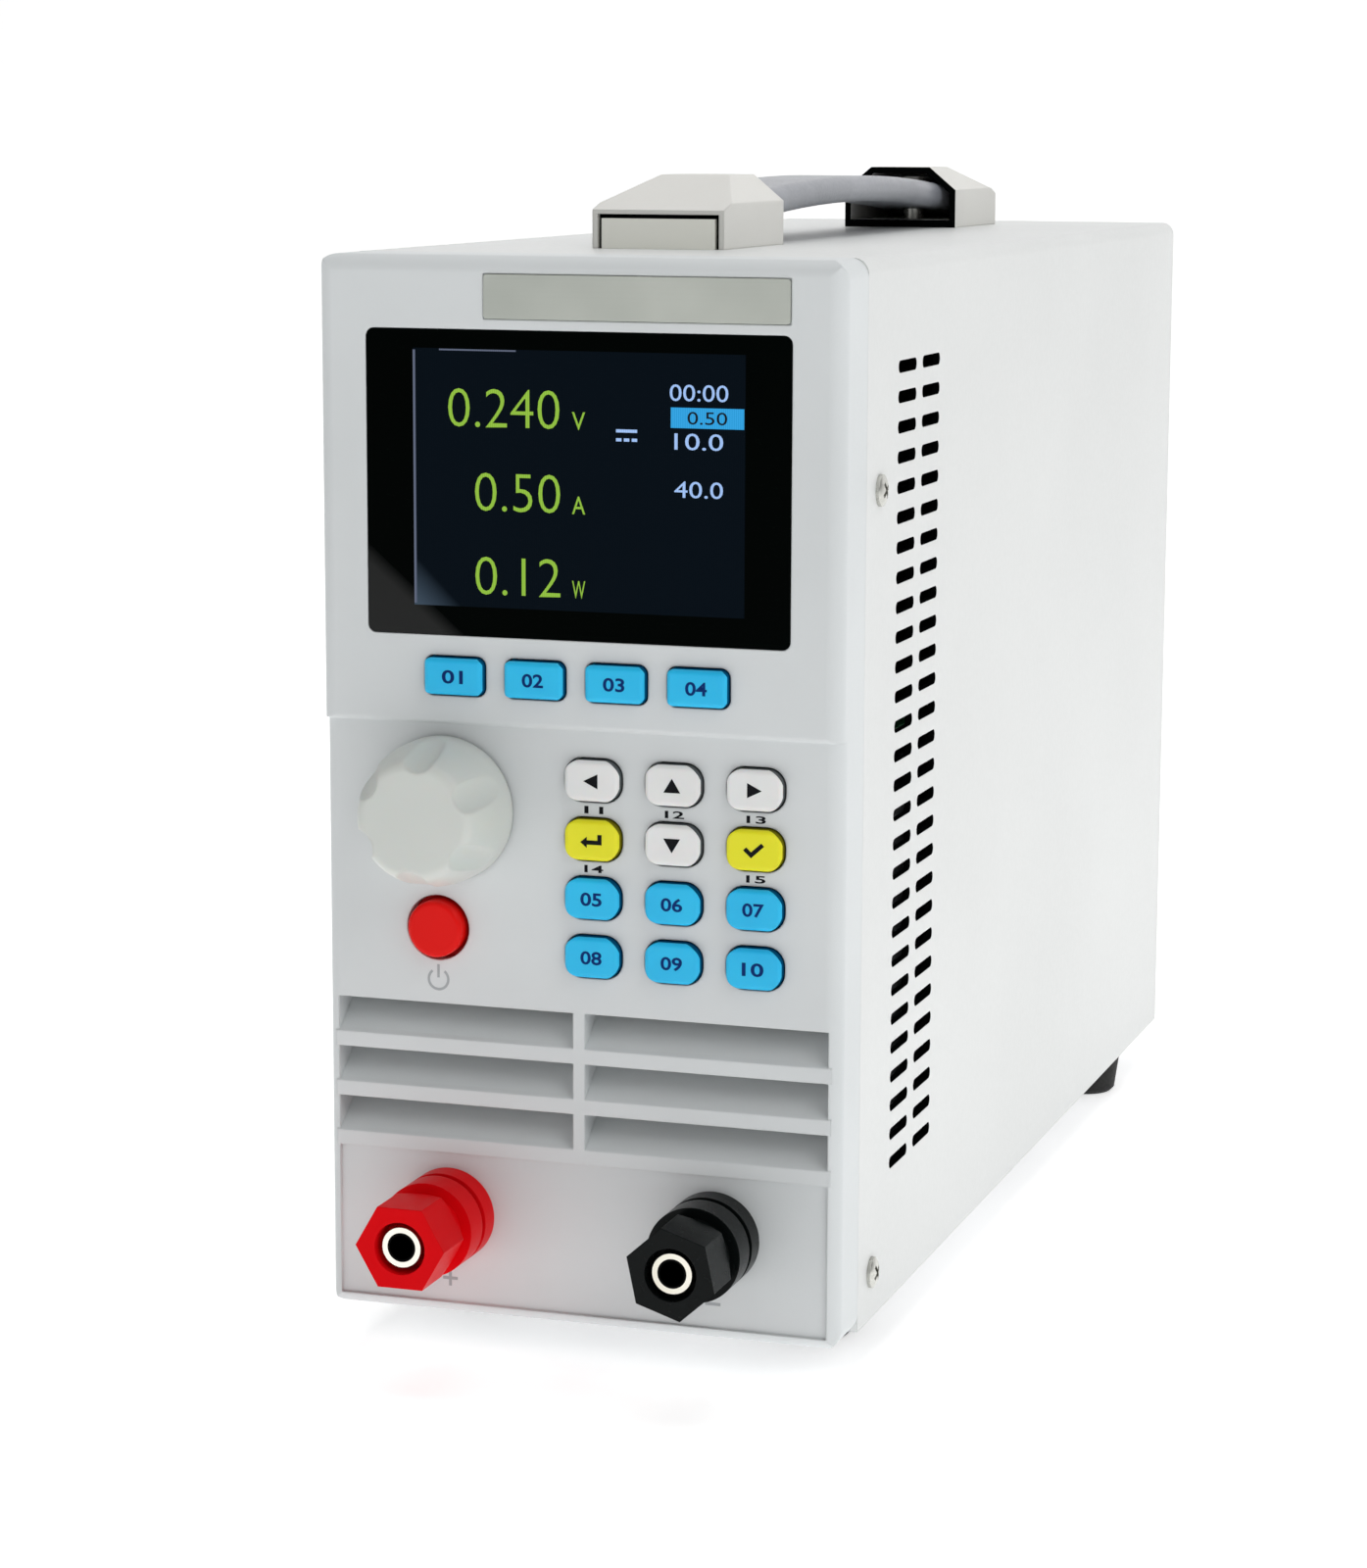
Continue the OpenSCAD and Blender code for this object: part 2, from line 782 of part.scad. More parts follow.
module key_switches() color([0.15, 0.15, 0.16]) place() {
    for (i = [0 : soft_keys - 1])
        translate([soft_x(i), 0, soft_z])
            tact_switch();
    for (column = [0 : 2], row = [0 : 3])
        translate([pad_key_x(column), 0, pad_key_z(row)])
            tact_switch();
}

module encoder_body() color([0.66, 0.67, 0.68]) place() {
    translate([knob_x, 0, knob_z])
        difference() {
            union() {
                along_y(wall_back, board_y)
                    square([encoder_w, encoder_w], center = true);
                rod_y(step_d - encoder_bush_l, wall_back + overcut, bush_dia / 2);
                hex_y_bar(step_d - encoder_nut_t, step_d, encoder_nut_r);
            }
            rod_y(step_d - encoder_bush_l - overcut, board_y - overcut, shaft_r + running_gap);
        }
}

module power_switch() color([0.15, 0.15, 0.16]) place() {
    translate([power_x, 0, power_z]) {
        along_y(power_switch_front + switch_button_l, board_y)
            square([power_switch_w, power_switch_w], center = true);
        rod_y(power_switch_front, power_switch_front + switch_button_l, switch_button_r);
    }
}

module front_frame() color([0.72, 0.73, 0.74]) place() {
    side_bar_w = 8;
    window_x = case_w / 2 - side_bar_w;
    air_low = 6;
    air_high = 54;
    bar_h = 5;
    top_bar_h = 14;
    hem = 1;
    difference() {
        union() {
            along_y(cover_y, cover_y + sheet_t)
                cover_sketch(sheet_t, sheet_t);
            for (side = [-1, 1])
                along_z(flange_h + hem, case_h - sheet_t - bend_r)
                    translate([side * (inner_w - sheet_t) / 2, cover_y + frame_flange_d / 2])
                        square([sheet_t, frame_flange_d], center = true);
        }
        along_y(cover_y - overcut, cover_y + sheet_t + overcut) {
            translate([-window_x, air_low])
                square([2 * window_x, air_high - air_low]);
            translate([-window_x, step_z + bar_h])
                square([2 * window_x, case_h - top_bar_h - step_z - bar_h]);
        }
        translate([0, side_screw_y, side_screw_high])
            rotate([0, 90, 0])
                cylinder(h = case_w, r = screw_r + seat_gap, center = true);
    }
}

module bottom_chassis() color([0.74, 0.75, 0.76]) place() {
    flange_y = cover_y + sheet_t;
    difference() {
        union() {
            along_y(cover_y, rear_y)
                translate([-inner_w / 2, 0])
                    square([inner_w, sheet_t]);
            for (side = [-1, 1])
                along_y(flange_y, rear_y)
                    translate([side * (inner_w - sheet_t) / 2, flange_h / 2])
                        square([sheet_t, flange_h], center = true);
            along_y(rear_y - sheet_t, rear_y)
                translate([-inner_w / 2, 0])
                    square([inner_w, rear_flange_h]);
        }
        translate([0, side_screw_y, side_screw_low])
            rotate([0, 90, 0])
                cylinder(h = case_w, r = screw_r + seat_gap, center = true);
        for (side = [-1, 1])
            translate([side * foot_x, 0, rear_screw_z])
                rod_y(rear_y - sheet_t - overcut, rear_y + overcut, screw_r + seat_gap);
        foot_places()
            translate([0, 0, -overcut])
                cylinder(h = sheet_t + 2 * overcut, r = screw_r + seat_gap);
    }
}

module foot_places() {
    for (side = [-1, 1]) {
        translate([side * foot_front_x, foot_front, 0])
            children();
        translate([side * foot_x, case_d - foot_rear, 0])
            children();
    }
}

// Side sketch (y, z) of the two columns of slots
module slot_sketch() {
    rows = round((case_h - slot_low - slot_high) / slot_row_pitch);
    for (column = [0, 1], row = [0 : rows])
        translate([slot_y + column * slot_column_pitch, slot_low + row * slot_row_pitch])
            obround(slot_l, slot_h);
}

module top_cover() color([0.88, 0.89, 0.88]) place() {
    difference() {
        union() {
            along_y(cover_y, case_d)
                difference() {
                    cover_sketch(0);
                    cover_sketch(sheet_t, -overcut);
                }
            for (side = [-1, 1], z = tab_zs)
                along_y(rear_y - sheet_t, rear_y)
                    translate([side * (inner_w - tab_w + sheet_t) / 2, z])
                        square([tab_w + sheet_t, tab_h], center = true);
        }
        along_x(-case_w, case_w)
            slot_sketch();
        for (z = [side_screw_low, side_screw_high])
            translate([0, side_screw_y, z])
                rotate([0, 90, 0])
                    cylinder(h = 2 * case_w, r = screw_r + screw_hole_gap, center = true);
        for (side = [-1, 1], z = tab_zs)
            translate([side * (inner_w - tab_w) / 2, 0, z])
                rod_y(rear_y - sheet_t - overcut, rear_y + overcut, screw_r + seat_gap);
        for (side = [-1, 1])
            translate([0, handle_y + side * handle_screw_half, case_h - sheet_t - overcut])
                cylinder(h = sheet_t + 2 * overcut, r = handle_screw_r + seat_gap);
    }
}

module fan_hole_places() {
    for (x = [-1, 1], z = [-1, 1])
        translate([x * fan_hole_pitch / 2, 0, fan_z + z * fan_hole_pitch / 2])
            children();
}

// Front sketch of the punched finger guard
module grille_sketch() {
    difference() {
        for (i = [0 : grille_rings - 1])
            difference() {
                circle(grille_first_r + i * grille_pitch + grille_slot_w / 2);
                circle(grille_first_r + i * grille_pitch - grille_slot_w / 2);
            }
        for (angle = [45, 135])
            rotate(angle)
                square([fan_w, grille_bar], center = true);
    }
}

module rear_panel() color([0.88, 0.89, 0.88]) place() {
    difference() {
        along_y(rear_y, case_d)
            difference() {
                cover_sketch(sheet_t);
                translate([0, fan_z])
                    grille_sketch();
                translate([inlet_x, inlet_z])
                    square([inlet_body_w + 2 * seat_gap, inlet_body_h + 2 * seat_gap], center = true);
                translate([port_x, port_z])
                    square([port_shell_w + 2 * seat_gap, port_shell_h + 2 * seat_gap], center = true);
            }
        fan_hole_places()
            rod_y(rear_y - overcut, case_d + overcut, screw_r + screw_hole_gap);
        rear_screw_places()
            rod_y(rear_y - overcut, case_d + overcut, screw_r + screw_hole_gap);
    }
}

module rear_screw_places() {
    for (side = [-1, 1]) {
        for (z = tab_zs)
            translate([side * (inner_w - tab_w) / 2, 0, z])
                children();
        translate([side * foot_x, 0, rear_screw_z])
            children();
    }
}

module feet() color([0.10, 0.10, 0.10]) place() {
    head_room = foot_h / 2;
    edge = 0.8;
    foot_places()
        rotate_extrude()
            difference() {
                polygon([
                    [screw_r + seat_gap, 0],
                    [foot_dia / 2, 0],
                    [foot_low_dia / 2, -foot_h + edge],
                    [foot_low_dia / 2 - edge, -foot_h],
                    [screw_r + seat_gap, -foot_h]
                ]);
                translate([0, -foot_h - overcut])
                    square([screw_head_r + slide_gap, head_room + overcut]);
            }
}

module case_screws() color([0.78, 0.78, 0.76]) place() {
    for (side = [-1, 1], z = [side_screw_low, side_screw_high])
        translate([side * case_w / 2, side_screw_y, z])
            rotate([0, side * 90, 0])
                screw(side_screw_l);
    rear_screw_places()
        translate([0, case_d, 0])
            rotate([-90, 0, 0])
                screw(side_screw_l);
    fan_hole_places()
        translate([0, case_d, 0])
            rotate([-90, 0, 0])
                screw(side_screw_l);
}

module inner_screws() color([0.70, 0.70, 0.70]) place() {
    foot_places()
        translate([0, 0, -foot_h / 2])
            rotate([180, 0, 0])
                screw(foot_h / 2 + sheet_t - seat_gap);
    for (side = [-1, 1], z = boss_zs)
        translate([side * boss_x, board_y + board_t, z])
            rotate([-90, 0, 0])
                screw(board_t + overcut, r = pilot_r - seat_gap / 2, head_h = board_clear - seat_gap);
    for (side = [-1, 1], y = standoff_ys)
        translate([side * standoff_x, y, main_top])
            screw(board_t + standoff_h / 2);
    for (side = [-1, 1])
        translate([0, handle_y + side * handle_screw_half, strap_top(handle_screw_half - handle_head_r)])
            screw(handle_screw_l, handle_screw_r, handle_head_r, handle_head_h);
}

// Height of the bowed strap's top at a distance from the handle's middle
function strap_top(y) = case_h + strap_z - strap_r + sqrt(pow(strap_r + strap_t / 2, 2) - y * y);

// Side sketch (y, z) of an end cap, from its low outer end at y = 0
module cap_side_sketch(inset) {
    polygon([
        [inset, inset == 0 ? 0 : cap_floor],
        [inset, cap_low_h - inset],
        [cap_slope_l, cap_h - inset],
        [cap_l + (inset == 0 ? 0 : overcut), cap_h - inset],
        [cap_l + (inset == 0 ? 0 : overcut), inset == 0 ? 0 : cap_floor]
    ]);
}

// Front sketch (x, z) of an end cap
module cap_front_sketch(inset) {
    half = cap_w / 2 - inset;
    top = cap_h - inset;
    polygon([
        [-half, 0],
        [half, 0],
        [half, cap_h - cap_chamfer_h - inset / 2],
        [half - cap_chamfer_w + inset / 2, top],
        [-half + cap_chamfer_w - inset / 2, top],
        [-half, cap_h - cap_chamfer_h - inset / 2]
    ]);
}

module end_cap() {
    difference() {
        intersection() {
            along_x(-cap_w / 2, cap_w / 2)
                cap_side_sketch(0);
            along_y(0, cap_l)
                cap_front_sketch(0);
        }
        intersection() {
            along_x(-cap_w / 2, cap_w / 2)
                translate([end_plate_t, 0])
                    cap_side_sketch(cap_wall);
            along_y(0, cap_l + 2 * overcut)
                cap_front_sketch(cap_wall);
        }
        along_y(-overcut, end_plate_t)
            end_plate_sketch(end_plate_gap);
        translate([0, handle_l / 2 - handle_screw_half, -overcut])
            cylinder(h = cap_floor + 2 * overcut, r = handle_screw_r + seat_gap);
    }
}

module end_plate_sketch(grow) {
    side_wall = 1.6;
    w = cap_w - 2 * side_wall;
    translate([-w / 2 - grow, -overcut * (grow > 0 ? 1 : 0)])
        square([w + 2 * grow, end_plate_h + grow + overcut * (grow > 0 ? 1 : 0)]);
}

module front_end_place() {
    translate([0, handle_y - handle_l / 2, case_h])
        children();
}

module rear_end_place() {
    translate([0, handle_y + handle_l / 2, case_h])
        rotate([0, 0, 180])
            children();
}

module handle_front_cap() color([0.90, 0.90, 0.88]) place() {
    front_end_place()
        end_cap();
}

module handle_rear_cap() color([0.90, 0.90, 0.88]) place() {
    rear_end_place()
        end_cap();
}

module handle_end_plates() color([0.80, 0.80, 0.74]) place() {
    front_end_place()
        along_y(0, end_plate_t)
            end_plate_sketch(0);
    rear_end_place()
        along_y(0, end_plate_t)
            end_plate_sketch(0);
}

module handle_strap() color([0.51, 0.52, 0.56]) place() {
    half_angle = asin(strap_half / strap_r);
    difference() {
        translate([0, handle_y, case_h + strap_z - strap_r])
            rotate([90, 0, 90])
                rotate([0, 0, 90 - half_angle])
                    rotate_extrude(angle = 2 * half_angle)
                        translate([strap_r, 0])
                            rounded_rect(strap_t, strap_w, strap_edge_r);
        for (side = [-1, 1])
            translate([0, handle_y + side * handle_screw_half, case_h])
                cylinder(h = cap_h, r = handle_screw_r + seat_gap);
    }
}

module post_base() {
    difference() {
        union() {
            rod_y(post_y - post_base_l, post_y, post_dia / 2);
            rod_y(post_y - overcut, wall_back, post_spigot_r);
        }
        rod_y(post_y - post_base_l - overcut, wall_back + overcut, stud_r + seat_gap / 2);
    }
}

module post_base_red() color([0.80, 0.06, 0.10]) place() {
    translate([-post_x, 0, post_z])
        post_base();
}

module post_base_black() color([0.06, 0.07, 0.07]) place() {
    translate([post_x, 0, post_z])
        post_base();
}

module post_studs() color([0.85, 0.83, 0.76]) place() {
    for (side = [-1, 1])
        translate([side * post_x, 0, post_z])
            difference() {
                rod_y(stud_front, stud_back, stud_r);
                rod_y(stud_front - overcut, stud_front + socket_d, socket_dia / 2);
            }
}

module post_nuts() color([0.80, 0.72, 0.45]) place() {
    for (side = [-1, 1], y = [wall_back, bar_y + bar_t])
        translate([side * post_x, 0, post_z])
            difference() {
                hex_y_bar(y, y + post_nut_t, post_nut_r);
                rod_y(y - overcut, y + post_nut_t + overcut, stud_r + seat_gap / 2);
            }
}

// Side sketch (y, z) of a bus bar from its stud to the main board
module bar_sketch() {
    run_z = post_z + bar_margin;
    rise_y = main_y - bar_t;
    land_l = 14;
    translate([bar_y, post_z - bar_margin])
        square([bar_t, 2 * bar_margin + bar_t]);
    translate([bar_y, run_z])
        square([rise_y + bar_t - bar_y, bar_t]);
    translate([rise_y - bar_t, run_z])
        square([bar_t, main_top + bar_t - run_z]);
    translate([rise_y - bar_t, main_top])
        square([land_l, bar_t]);
}

module bus_bars() color([0.78, 0.48, 0.30]) place() {
    for (side = [-1, 1])
        translate([side * post_x, 0, 0])
            difference() {
                along_x(-bar_w / 2, bar_w / 2)
                    bar_sketch();
                translate([0, 0, post_z])
                    rod_y(bar_y - overcut, bar_y + bar_t + overcut, stud_r + seat_gap / 2);
            }
}

module heatsink() color([0.70, 0.71, 0.73]) place() {
    fin_pitch = (sink_w - sink_fin_t) / (sink_fins - 1);
    along_y(sink_y, sink_end) {
        translate([-sink_w / 2, sink_top - sink_base_t])
            square([sink_w, sink_base_t]);
        for (i = [0 : sink_fins - 1])
            translate([-sink_w / 2 + i * fin_pitch, sheet_t])
                square([sink_fin_t, sink_h]);
    }
}

module power_transistors() color([0.12, 0.12, 0.13]) place() {
    body_x = 16;
    body_y = 20;
    body_t = 5;
    lead_w = 1.2;
    lead_pitch = 5.4;
    pitch = 30;
    first_y = sink_y + pitch;
    for (side = [-1, 1], i = [0 : 3])
        translate([side * body_x, first_y + i * pitch, sink_top]) {
            translate([-body_x / 2, 0, 0])
                cube([body_x, body_y, body_t]);
            for (lead = [-1, 0, 1])
                translate([lead * lead_pitch - lead_w / 2, body_y - lead_w, 0])
                    cube([lead_w, lead_w, standoff_h]);
        }
}

module main_board() color([0.10, 0.35, 0.20]) place() {
    difference() {
        along_z(main_z, main_top)
            translate([-main_w / 2, main_y])
                square([main_w, main_end - main_y]);
        for (side = [-1, 1], y = standoff_ys)
            translate([side * standoff_x, y, main_z - overcut])
                cylinder(h = board_t + 2 * overcut, r = screw_r + screw_hole_gap);
    }
}

module board_standoffs() color([0.80, 0.72, 0.45]) place() {
    for (side = [-1, 1], y = standoff_ys)
        translate([side * standoff_x, y, sink_top])
            difference() {
                cylinder(h = standoff_h, r = standoff_r, $fn = 6);
                translate([0, 0, standoff_h / 2 - seat_gap])
                    cylinder(h = standoff_h, r = screw_r + seat_gap);
            }
}

module board_parts() color([0.16, 0.18, 0.24]) place() {
    cans = 3;
    can_r = 8;
    can_h = 26;
    can_gap = 3;
    can_groove_z = 3;
    can_groove_r = 0.7;
    can_x = -24;
    can_y = 40;
    relay_w = 16;
    relay_l = 28;
    relay_x = 18;
    relay_y = 48;
    relay_r = 1;
    shunt_w = 30;
    shunt_t = 2;
    shunt_h = 9;
    shunt_leg = 5;
    shunt_x = 13;
    shunt_y = 74;
    for (i = [0 : cans - 1])
        translate([can_x, main_y + can_y + i * (2 * can_r + can_gap), main_top])
            rotate_extrude()
                difference() {
                    square([can_r, can_h]);
                    translate([can_r, can_groove_z])
                        circle(can_groove_r);
                }
    along_z(main_top, main_top + relay_w)
        translate([relay_x, main_y + relay_y])
            rounded_rect(relay_w, relay_l, relay_r);
    along_y(main_y + shunt_y, main_y + shunt_y + shunt_t)
        translate([shunt_x, main_top])
            difference() {
                translate([-shunt_w / 2, 0])
                    square([shunt_w, shunt_h]);
                translate([-shunt_w / 2 + shunt_leg, 0])
                    square([shunt_w - 2 * shunt_leg, shunt_leg]);
            }
}

module transformer() color([0.25, 0.25, 0.27]) place() {
    core_w = 46;
    core_d = 16;
    core_h = 38;
    limb_w = 8;
    coil_d = 34;
    coil_r = 5;
    back_room = 50;
    core_y = main_end - back_room;
    translate([0, core_y, main_top + core_h / 2]) {
        along_y(-core_d / 2, core_d / 2)
            difference() {
                square([core_w, core_h], center = true);
                square([core_w - 2 * limb_w, core_h - 2 * limb_w], center = true);
            }
        along_z(limb_w - core_h / 2, core_h / 2 - limb_w)
            rounded_rect(core_w - 2 * limb_w, coil_d, coil_r);
    }
}

// Turns a piece drawn along +Z so that it faces the rear, with its inlet at the fan's front
module fan_place() {
    translate([0, fan_y, fan_z])
        rotate([-90, 0, 0])
            children();
}

module fan_frame() color([0.10, 0.10, 0.11]) place() {
    plate_t = 4;
    ring_t = 1.6;
    strut_w = 4;
    fan_place()
        difference() {
            union() {
                difference() {
                    union() {
                        for (z = [0, fan_d - plate_t])
                            along_z(z, z + plate_t)
                                rounded_rect(fan_w, fan_w, plate_t);
                        cylinder(h = fan_d, r = fan_bore_r + ring_t);
                    }
                    translate([0, 0, -overcut])
                        cylinder(h = fan_d + 2 * overcut, r = fan_bore_r);
                }
                along_z(fan_d - fan_strut_t, fan_d)
                    for (angle = [0, 90])
                        rotate(angle)
                            square([2 * fan_bore_r + ring_t, strut_w], center = true);
                translate([0, 0, fan_d - fan_strut_t])
                    cylinder(h = fan_strut_t, r = fan_hub_r);
            }
            translate([0, 0, -overcut])
                cylinder(h = fan_d + 2 * overcut, r = fan_shaft_r + running_gap);
            for (x = [-1, 1], y = [-1, 1])
                translate([x * fan_hole_pitch / 2, y * fan_hole_pitch / 2, -overcut])
                    cylinder(h = fan_d + 2 * overcut, r = screw_r + seat_gap);
        }
}

module fan_rotor() color([0.14, 0.14, 0.15]) place() {
    rotor_low = 1.5;
    strut_gap = 1;
    rotor_high = fan_d - fan_strut_t - strut_gap;
    blade_pitch = 38;
    blade_wall = 1.4;
    blade_l = fan_bore_r;
    blade_w = (rotor_high - rotor_low) / cos(blade_pitch);
    fan_place() {
        translate([0, 0, rotor_low])
            cylinder(h = rotor_high - rotor_low, r = fan_hub_r);
        translate([0, 0, rotor_high - overcut])
            cylinder(h = fan_strut_t + overcut, r = fan_shaft_r);
        intersection() {
            translate([0, 0, rotor_low])
                cylinder(h = rotor_high - rotor_low, r = fan_bore_r - fan_tip_gap);
            for (i = [0 : fan_blades - 1])
                rotate([0, 0, i * 360 / fan_blades])
                    translate([fan_hub_r - overcut, 0, (rotor_low + rotor_high) / 2])
                        rotate([blade_pitch, 0, 0])
                            translate([0, -blade_wall / 2, -blade_w / 2])
                                cube([blade_l, blade_wall, blade_w]);
        }
    }
}

// Front sketch of the inlet's mouth, with two cut corners
module inlet_mouth_sketch() {
    half = inlet_mouth_w / 2;
    high = inlet_mouth_h / 2;
    polygon([
        [-half, -high],
        [half, -high],
        [half, high - inlet_cut],
        [half - inlet_cut, high],
        [-half + inlet_cut, high],
        [-half, high - inlet_cut]
    ]);
}

module inlet_pin(x, z) {
    along_y(case_d + inlet_flange_t - inlet_mouth_d - overcut, case_d + inlet_flange_t - inlet_pin_inset)
        translate([x, z])
            square([inlet_pin_w, inlet_pin_h], center = true);
}

module mains_inlet() color([0.08, 0.08, 0.09]) place() {
    mouth_floor = case_d + inlet_flange_t - inlet_mouth_d;
    translate([inlet_x, 0, inlet_z]) {
        difference() {
            union() {
                along_y(case_d - inlet_d, case_d)
                    square([inlet_body_w, inlet_body_h], center = true);
                along_y(case_d, case_d + inlet_flange_t)
                    rounded_rect(inlet_w, inlet_h, inlet_corner_r);
            }
            along_y(mouth_floor, case_d + inlet_flange_t + overcut)
                translate([0, inlet_mouth_z])
                    inlet_mouth_sketch();
            along_y(fuse_back - slide_gap, case_d + inlet_flange_t + overcut)
                translate([0, -fuse_drop])
                    square([fuse_w + 2 * slide_gap, fuse_h + 2 * slide_gap], center = true);
        }
        inlet_pin(-inlet_pin_x, inlet_mouth_z);
        inlet_pin(inlet_pin_x, inlet_mouth_z);
        inlet_pin(0, inlet_mouth_z + inlet_earth_z);
    }
}

module fuse_drawer() color([0.10, 0.10, 0.11]) place() {
    trough_r = fuse_tube_r + seat_gap;
    trough_y = fuse_back + fuse_wall;
    trough_end = trough_y + fuse_tube_l + 2 * seat_gap;
    translate([inlet_x, 0, inlet_z - fuse_drop])
        difference() {
            along_y(fuse_back, case_d + inlet_flange_t)
                square([fuse_w, fuse_h], center = true);
            rod_y(trough_y, trough_end, trough_r);
            along_y(trough_y, trough_end)
                translate([-trough_r, 0])
                    square([2 * trough_r, fuse_h]);
        }
}

module fuse() color([0.85, 0.85, 0.82]) place() {
    translate([inlet_x, 0, inlet_z - fuse_drop])
        rod_y(fuse_tube_y, fuse_tube_y + fuse_tube_l, fuse_tube_r);
}

// Front sketch of the data port's nine contact holes, five above four
module contact_holes() {
    for (row = [0, 1], i = [0 : 4 - row])
        translate([(i - (4 - row) / 2) * contact_pitch, (0.5 - row) * contact_row])
            circle(contact_r);
}

module data_port() color([0.70, 0.71, 0.72]) place() {
    taper = 0.9;
    translate([port_x, 0, port_z]) {
        along_y(rear_y - port_body_d, rear_y)
            square([port_flange_w, port_flange_h], center = true);
        difference() {
            along_y(rear_y - overcut, case_d + port_shell_l)
                polygon([
                    [-port_shell_w / 2 + taper, -port_shell_h / 2],
                    [port_shell_w / 2 - taper, -port_shell_h / 2],
                    [port_shell_w / 2, port_shell_h / 2],
                    [-port_shell_w / 2, port_shell_h / 2]
                ]);
            along_y(case_d + port_flange_t, case_d + port_shell_l + overcut)
                contact_holes();
        }
        along_y(case_d, case_d + port_flange_t)
            rounded_rect(port_flange_w, port_flange_h, port_flange_t);
        for (side = [-1, 1])
            translate([side * port_nut_x, 0, 0])
                hex_y_bar(case_d, case_d + port_shell_l, port_nut_r);
    }
}

// Moves a piece drawn along +Z to the knob's axis, so that +Z points out of the front
module knob_place() {
    translate([knob_x, knob_y, knob_z])
        rotate([90, 0, 0])
            children();
}

module knob() color([0.85, 0.85, 0.82]) place() {
    base_r = knob_base_dia / 2;
    flank_x = base_r - knob_flank_r;
    edge_rise = knob_h - knob_edge_r - knob_base_h;
    edge_x = flank_x + sqrt(pow(knob_flank_r - knob_edge_r, 2) - edge_rise * edge_rise);
    flank_h = edge_rise * knob_flank_r / (knob_flank_r - knob_edge_r);
    end_rise = scallop_end - knob_base_h;
    end_r = flank_x + sqrt(knob_flank_r * knob_flank_r - end_rise * end_rise);
    axis_front = edge_x + knob_edge_r + scallop_r - scallop_d;
    scallop_lean = atan((end_r + scallop_r - axis_front) / (knob_h - scallop_end));
    knob_place()
        difference() {
            rotate_extrude() {
                square([base_r, knob_base_h]);
                intersection() {
                    translate([0, knob_base_h])
                        square([base_r, flank_h]);
                    translate([flank_x, knob_base_h])
                        circle(knob_flank_r);
                }
                square([edge_x, knob_h]);
                translate([edge_x, knob_h - knob_edge_r])
                    circle(knob_edge_r);
            }
            for (i = [0 : scallops - 1])
                rotate([0, 0, scallop_start + i * 360 / scallops])
                    translate([axis_front, 0, knob_h])
                        rotate([0, -scallop_lean, 0])
                            cylinder(h = 4 * knob_h, r = scallop_r, center = true);
            translate([0, 0, -overcut])
                cylinder(h = knob_recess_d + overcut, r = knob_recess_r);
            cylinder(h = knob_recess_d + knob_bore_l - overcut, r = shaft_r + seat_gap / 2);
        }
}

module encoder_shaft() color([0.72, 0.72, 0.74]) place() {
    translate([knob_x, 0, knob_z])
        rod_y(knob_y - knob_recess_d - knob_bore_l + 2 * overcut, board_y - 2 * overcut, shaft_r);
}

module power_button() color([0.85, 0.12, 0.08]) place() {
    dome = 0.8;
    button_r = power_dia / 2;
    front = step_d - power_proud;
    translate([power_x, power_back, power_z])
        rotate([90, 0, 0])
            rotate_extrude() {
                square([button_r - dome, power_back - front]);
                square([button_r, power_back - front - dome]);
                translate([button_r - dome, power_back - front - dome])
                    circle(dome);
                square([button_r + power_gap + key_rim, key_rim_t]);
            }
}

module post_washer() {
    difference() {
        rod_y(washer_y - washer_t, washer_y, washer_dia / 2);
        rod_y(washer_y - washer_t - overcut, washer_y + overcut, stud_r + running_gap);
    }
}

module post_washer_red() color([0.85, 0.83, 0.76]) place() {
    translate([-post_x, 0, post_z])
        post_washer();
}

module post_washer_black() color([0.85, 0.83, 0.76]) place() {
    translate([post_x, 0, post_z])
        post_washer();
}

module post_cap(turn) {
    chamfer = hex_r - hex_flats / 2;
    difference() {
        union() {
            rod_y(skirt_y - skirt_l, skirt_y, post_dia / 2);
            rod_y(hex_y - overcut, skirt_y - overcut, groove_dia / 2);
            intersection() {
                rotate([0, turn, 0])
                    hex_y_bar(post_front, hex_y, hex_r);
                translate([0, hex_y, 0])
                    rotate([90, 0, 0])
                        rotate_extrude()
                            polygon([
                                [0, 0],
                                [hex_flats / 2 - chamfer / 2, 0],
                                [hex_r + chamfer / 2, 2 * chamfer],
                                [hex_r + chamfer / 2, hex_l],
                                [0, hex_l]
                            ]);
            }
        }
        rod_y(post_front - overcut, skirt_y + overcut, stud_r + running_gap);
        rod_y(post_front - overcut, post_front + cap_mouth_d, cap_mouth_dia / 2);
    }
}

module post_cap_red() color([0.80, 0.06, 0.10]) place() {
    translate([-post_x, 0, post_z])
        post_cap(0);
}

module post_cap_black() color([0.06, 0.07, 0.07]) place() {
    translate([post_x, 0, post_z])
        post_cap(black_turn);
}

// A key about its middle, with its wall's front at face_y and the wall's back at back_y
module key_cap(w, h, r, face_y, back_y) {
    front = face_y - key_proud;
    intersection() {
        along_y(front, key_back)
            rounded_rect(w, h, r);
        along_z(-h / 2, h / 2)
            front_rounded(w, front, key_back, key_edge_r);
        along_x(-w / 2, w / 2)
            edge_profile(front, key_back, -h / 2, h / 2, key_edge_r, key_edge_r);
    }
    along_y(back_y + slide_gap, back_y + slide_gap + key_rim_t)
        rounded_rect(w + 2 * key_rim, h + 2 * key_rim, r + key_rim);
}

module soft_key(i) color(key_blue) place() {
    translate([soft_x(i), 0, soft_z])
        key_cap(soft_w, soft_h, soft_r, 0, face_t);
}

module pad_key(column, row, tint) color(tint) place() {
    translate([pad_key_x(column), 0, pad_key_z(row)])
        key_cap(pad_w, pad_h, pad_r, step_d, wall_back);
}

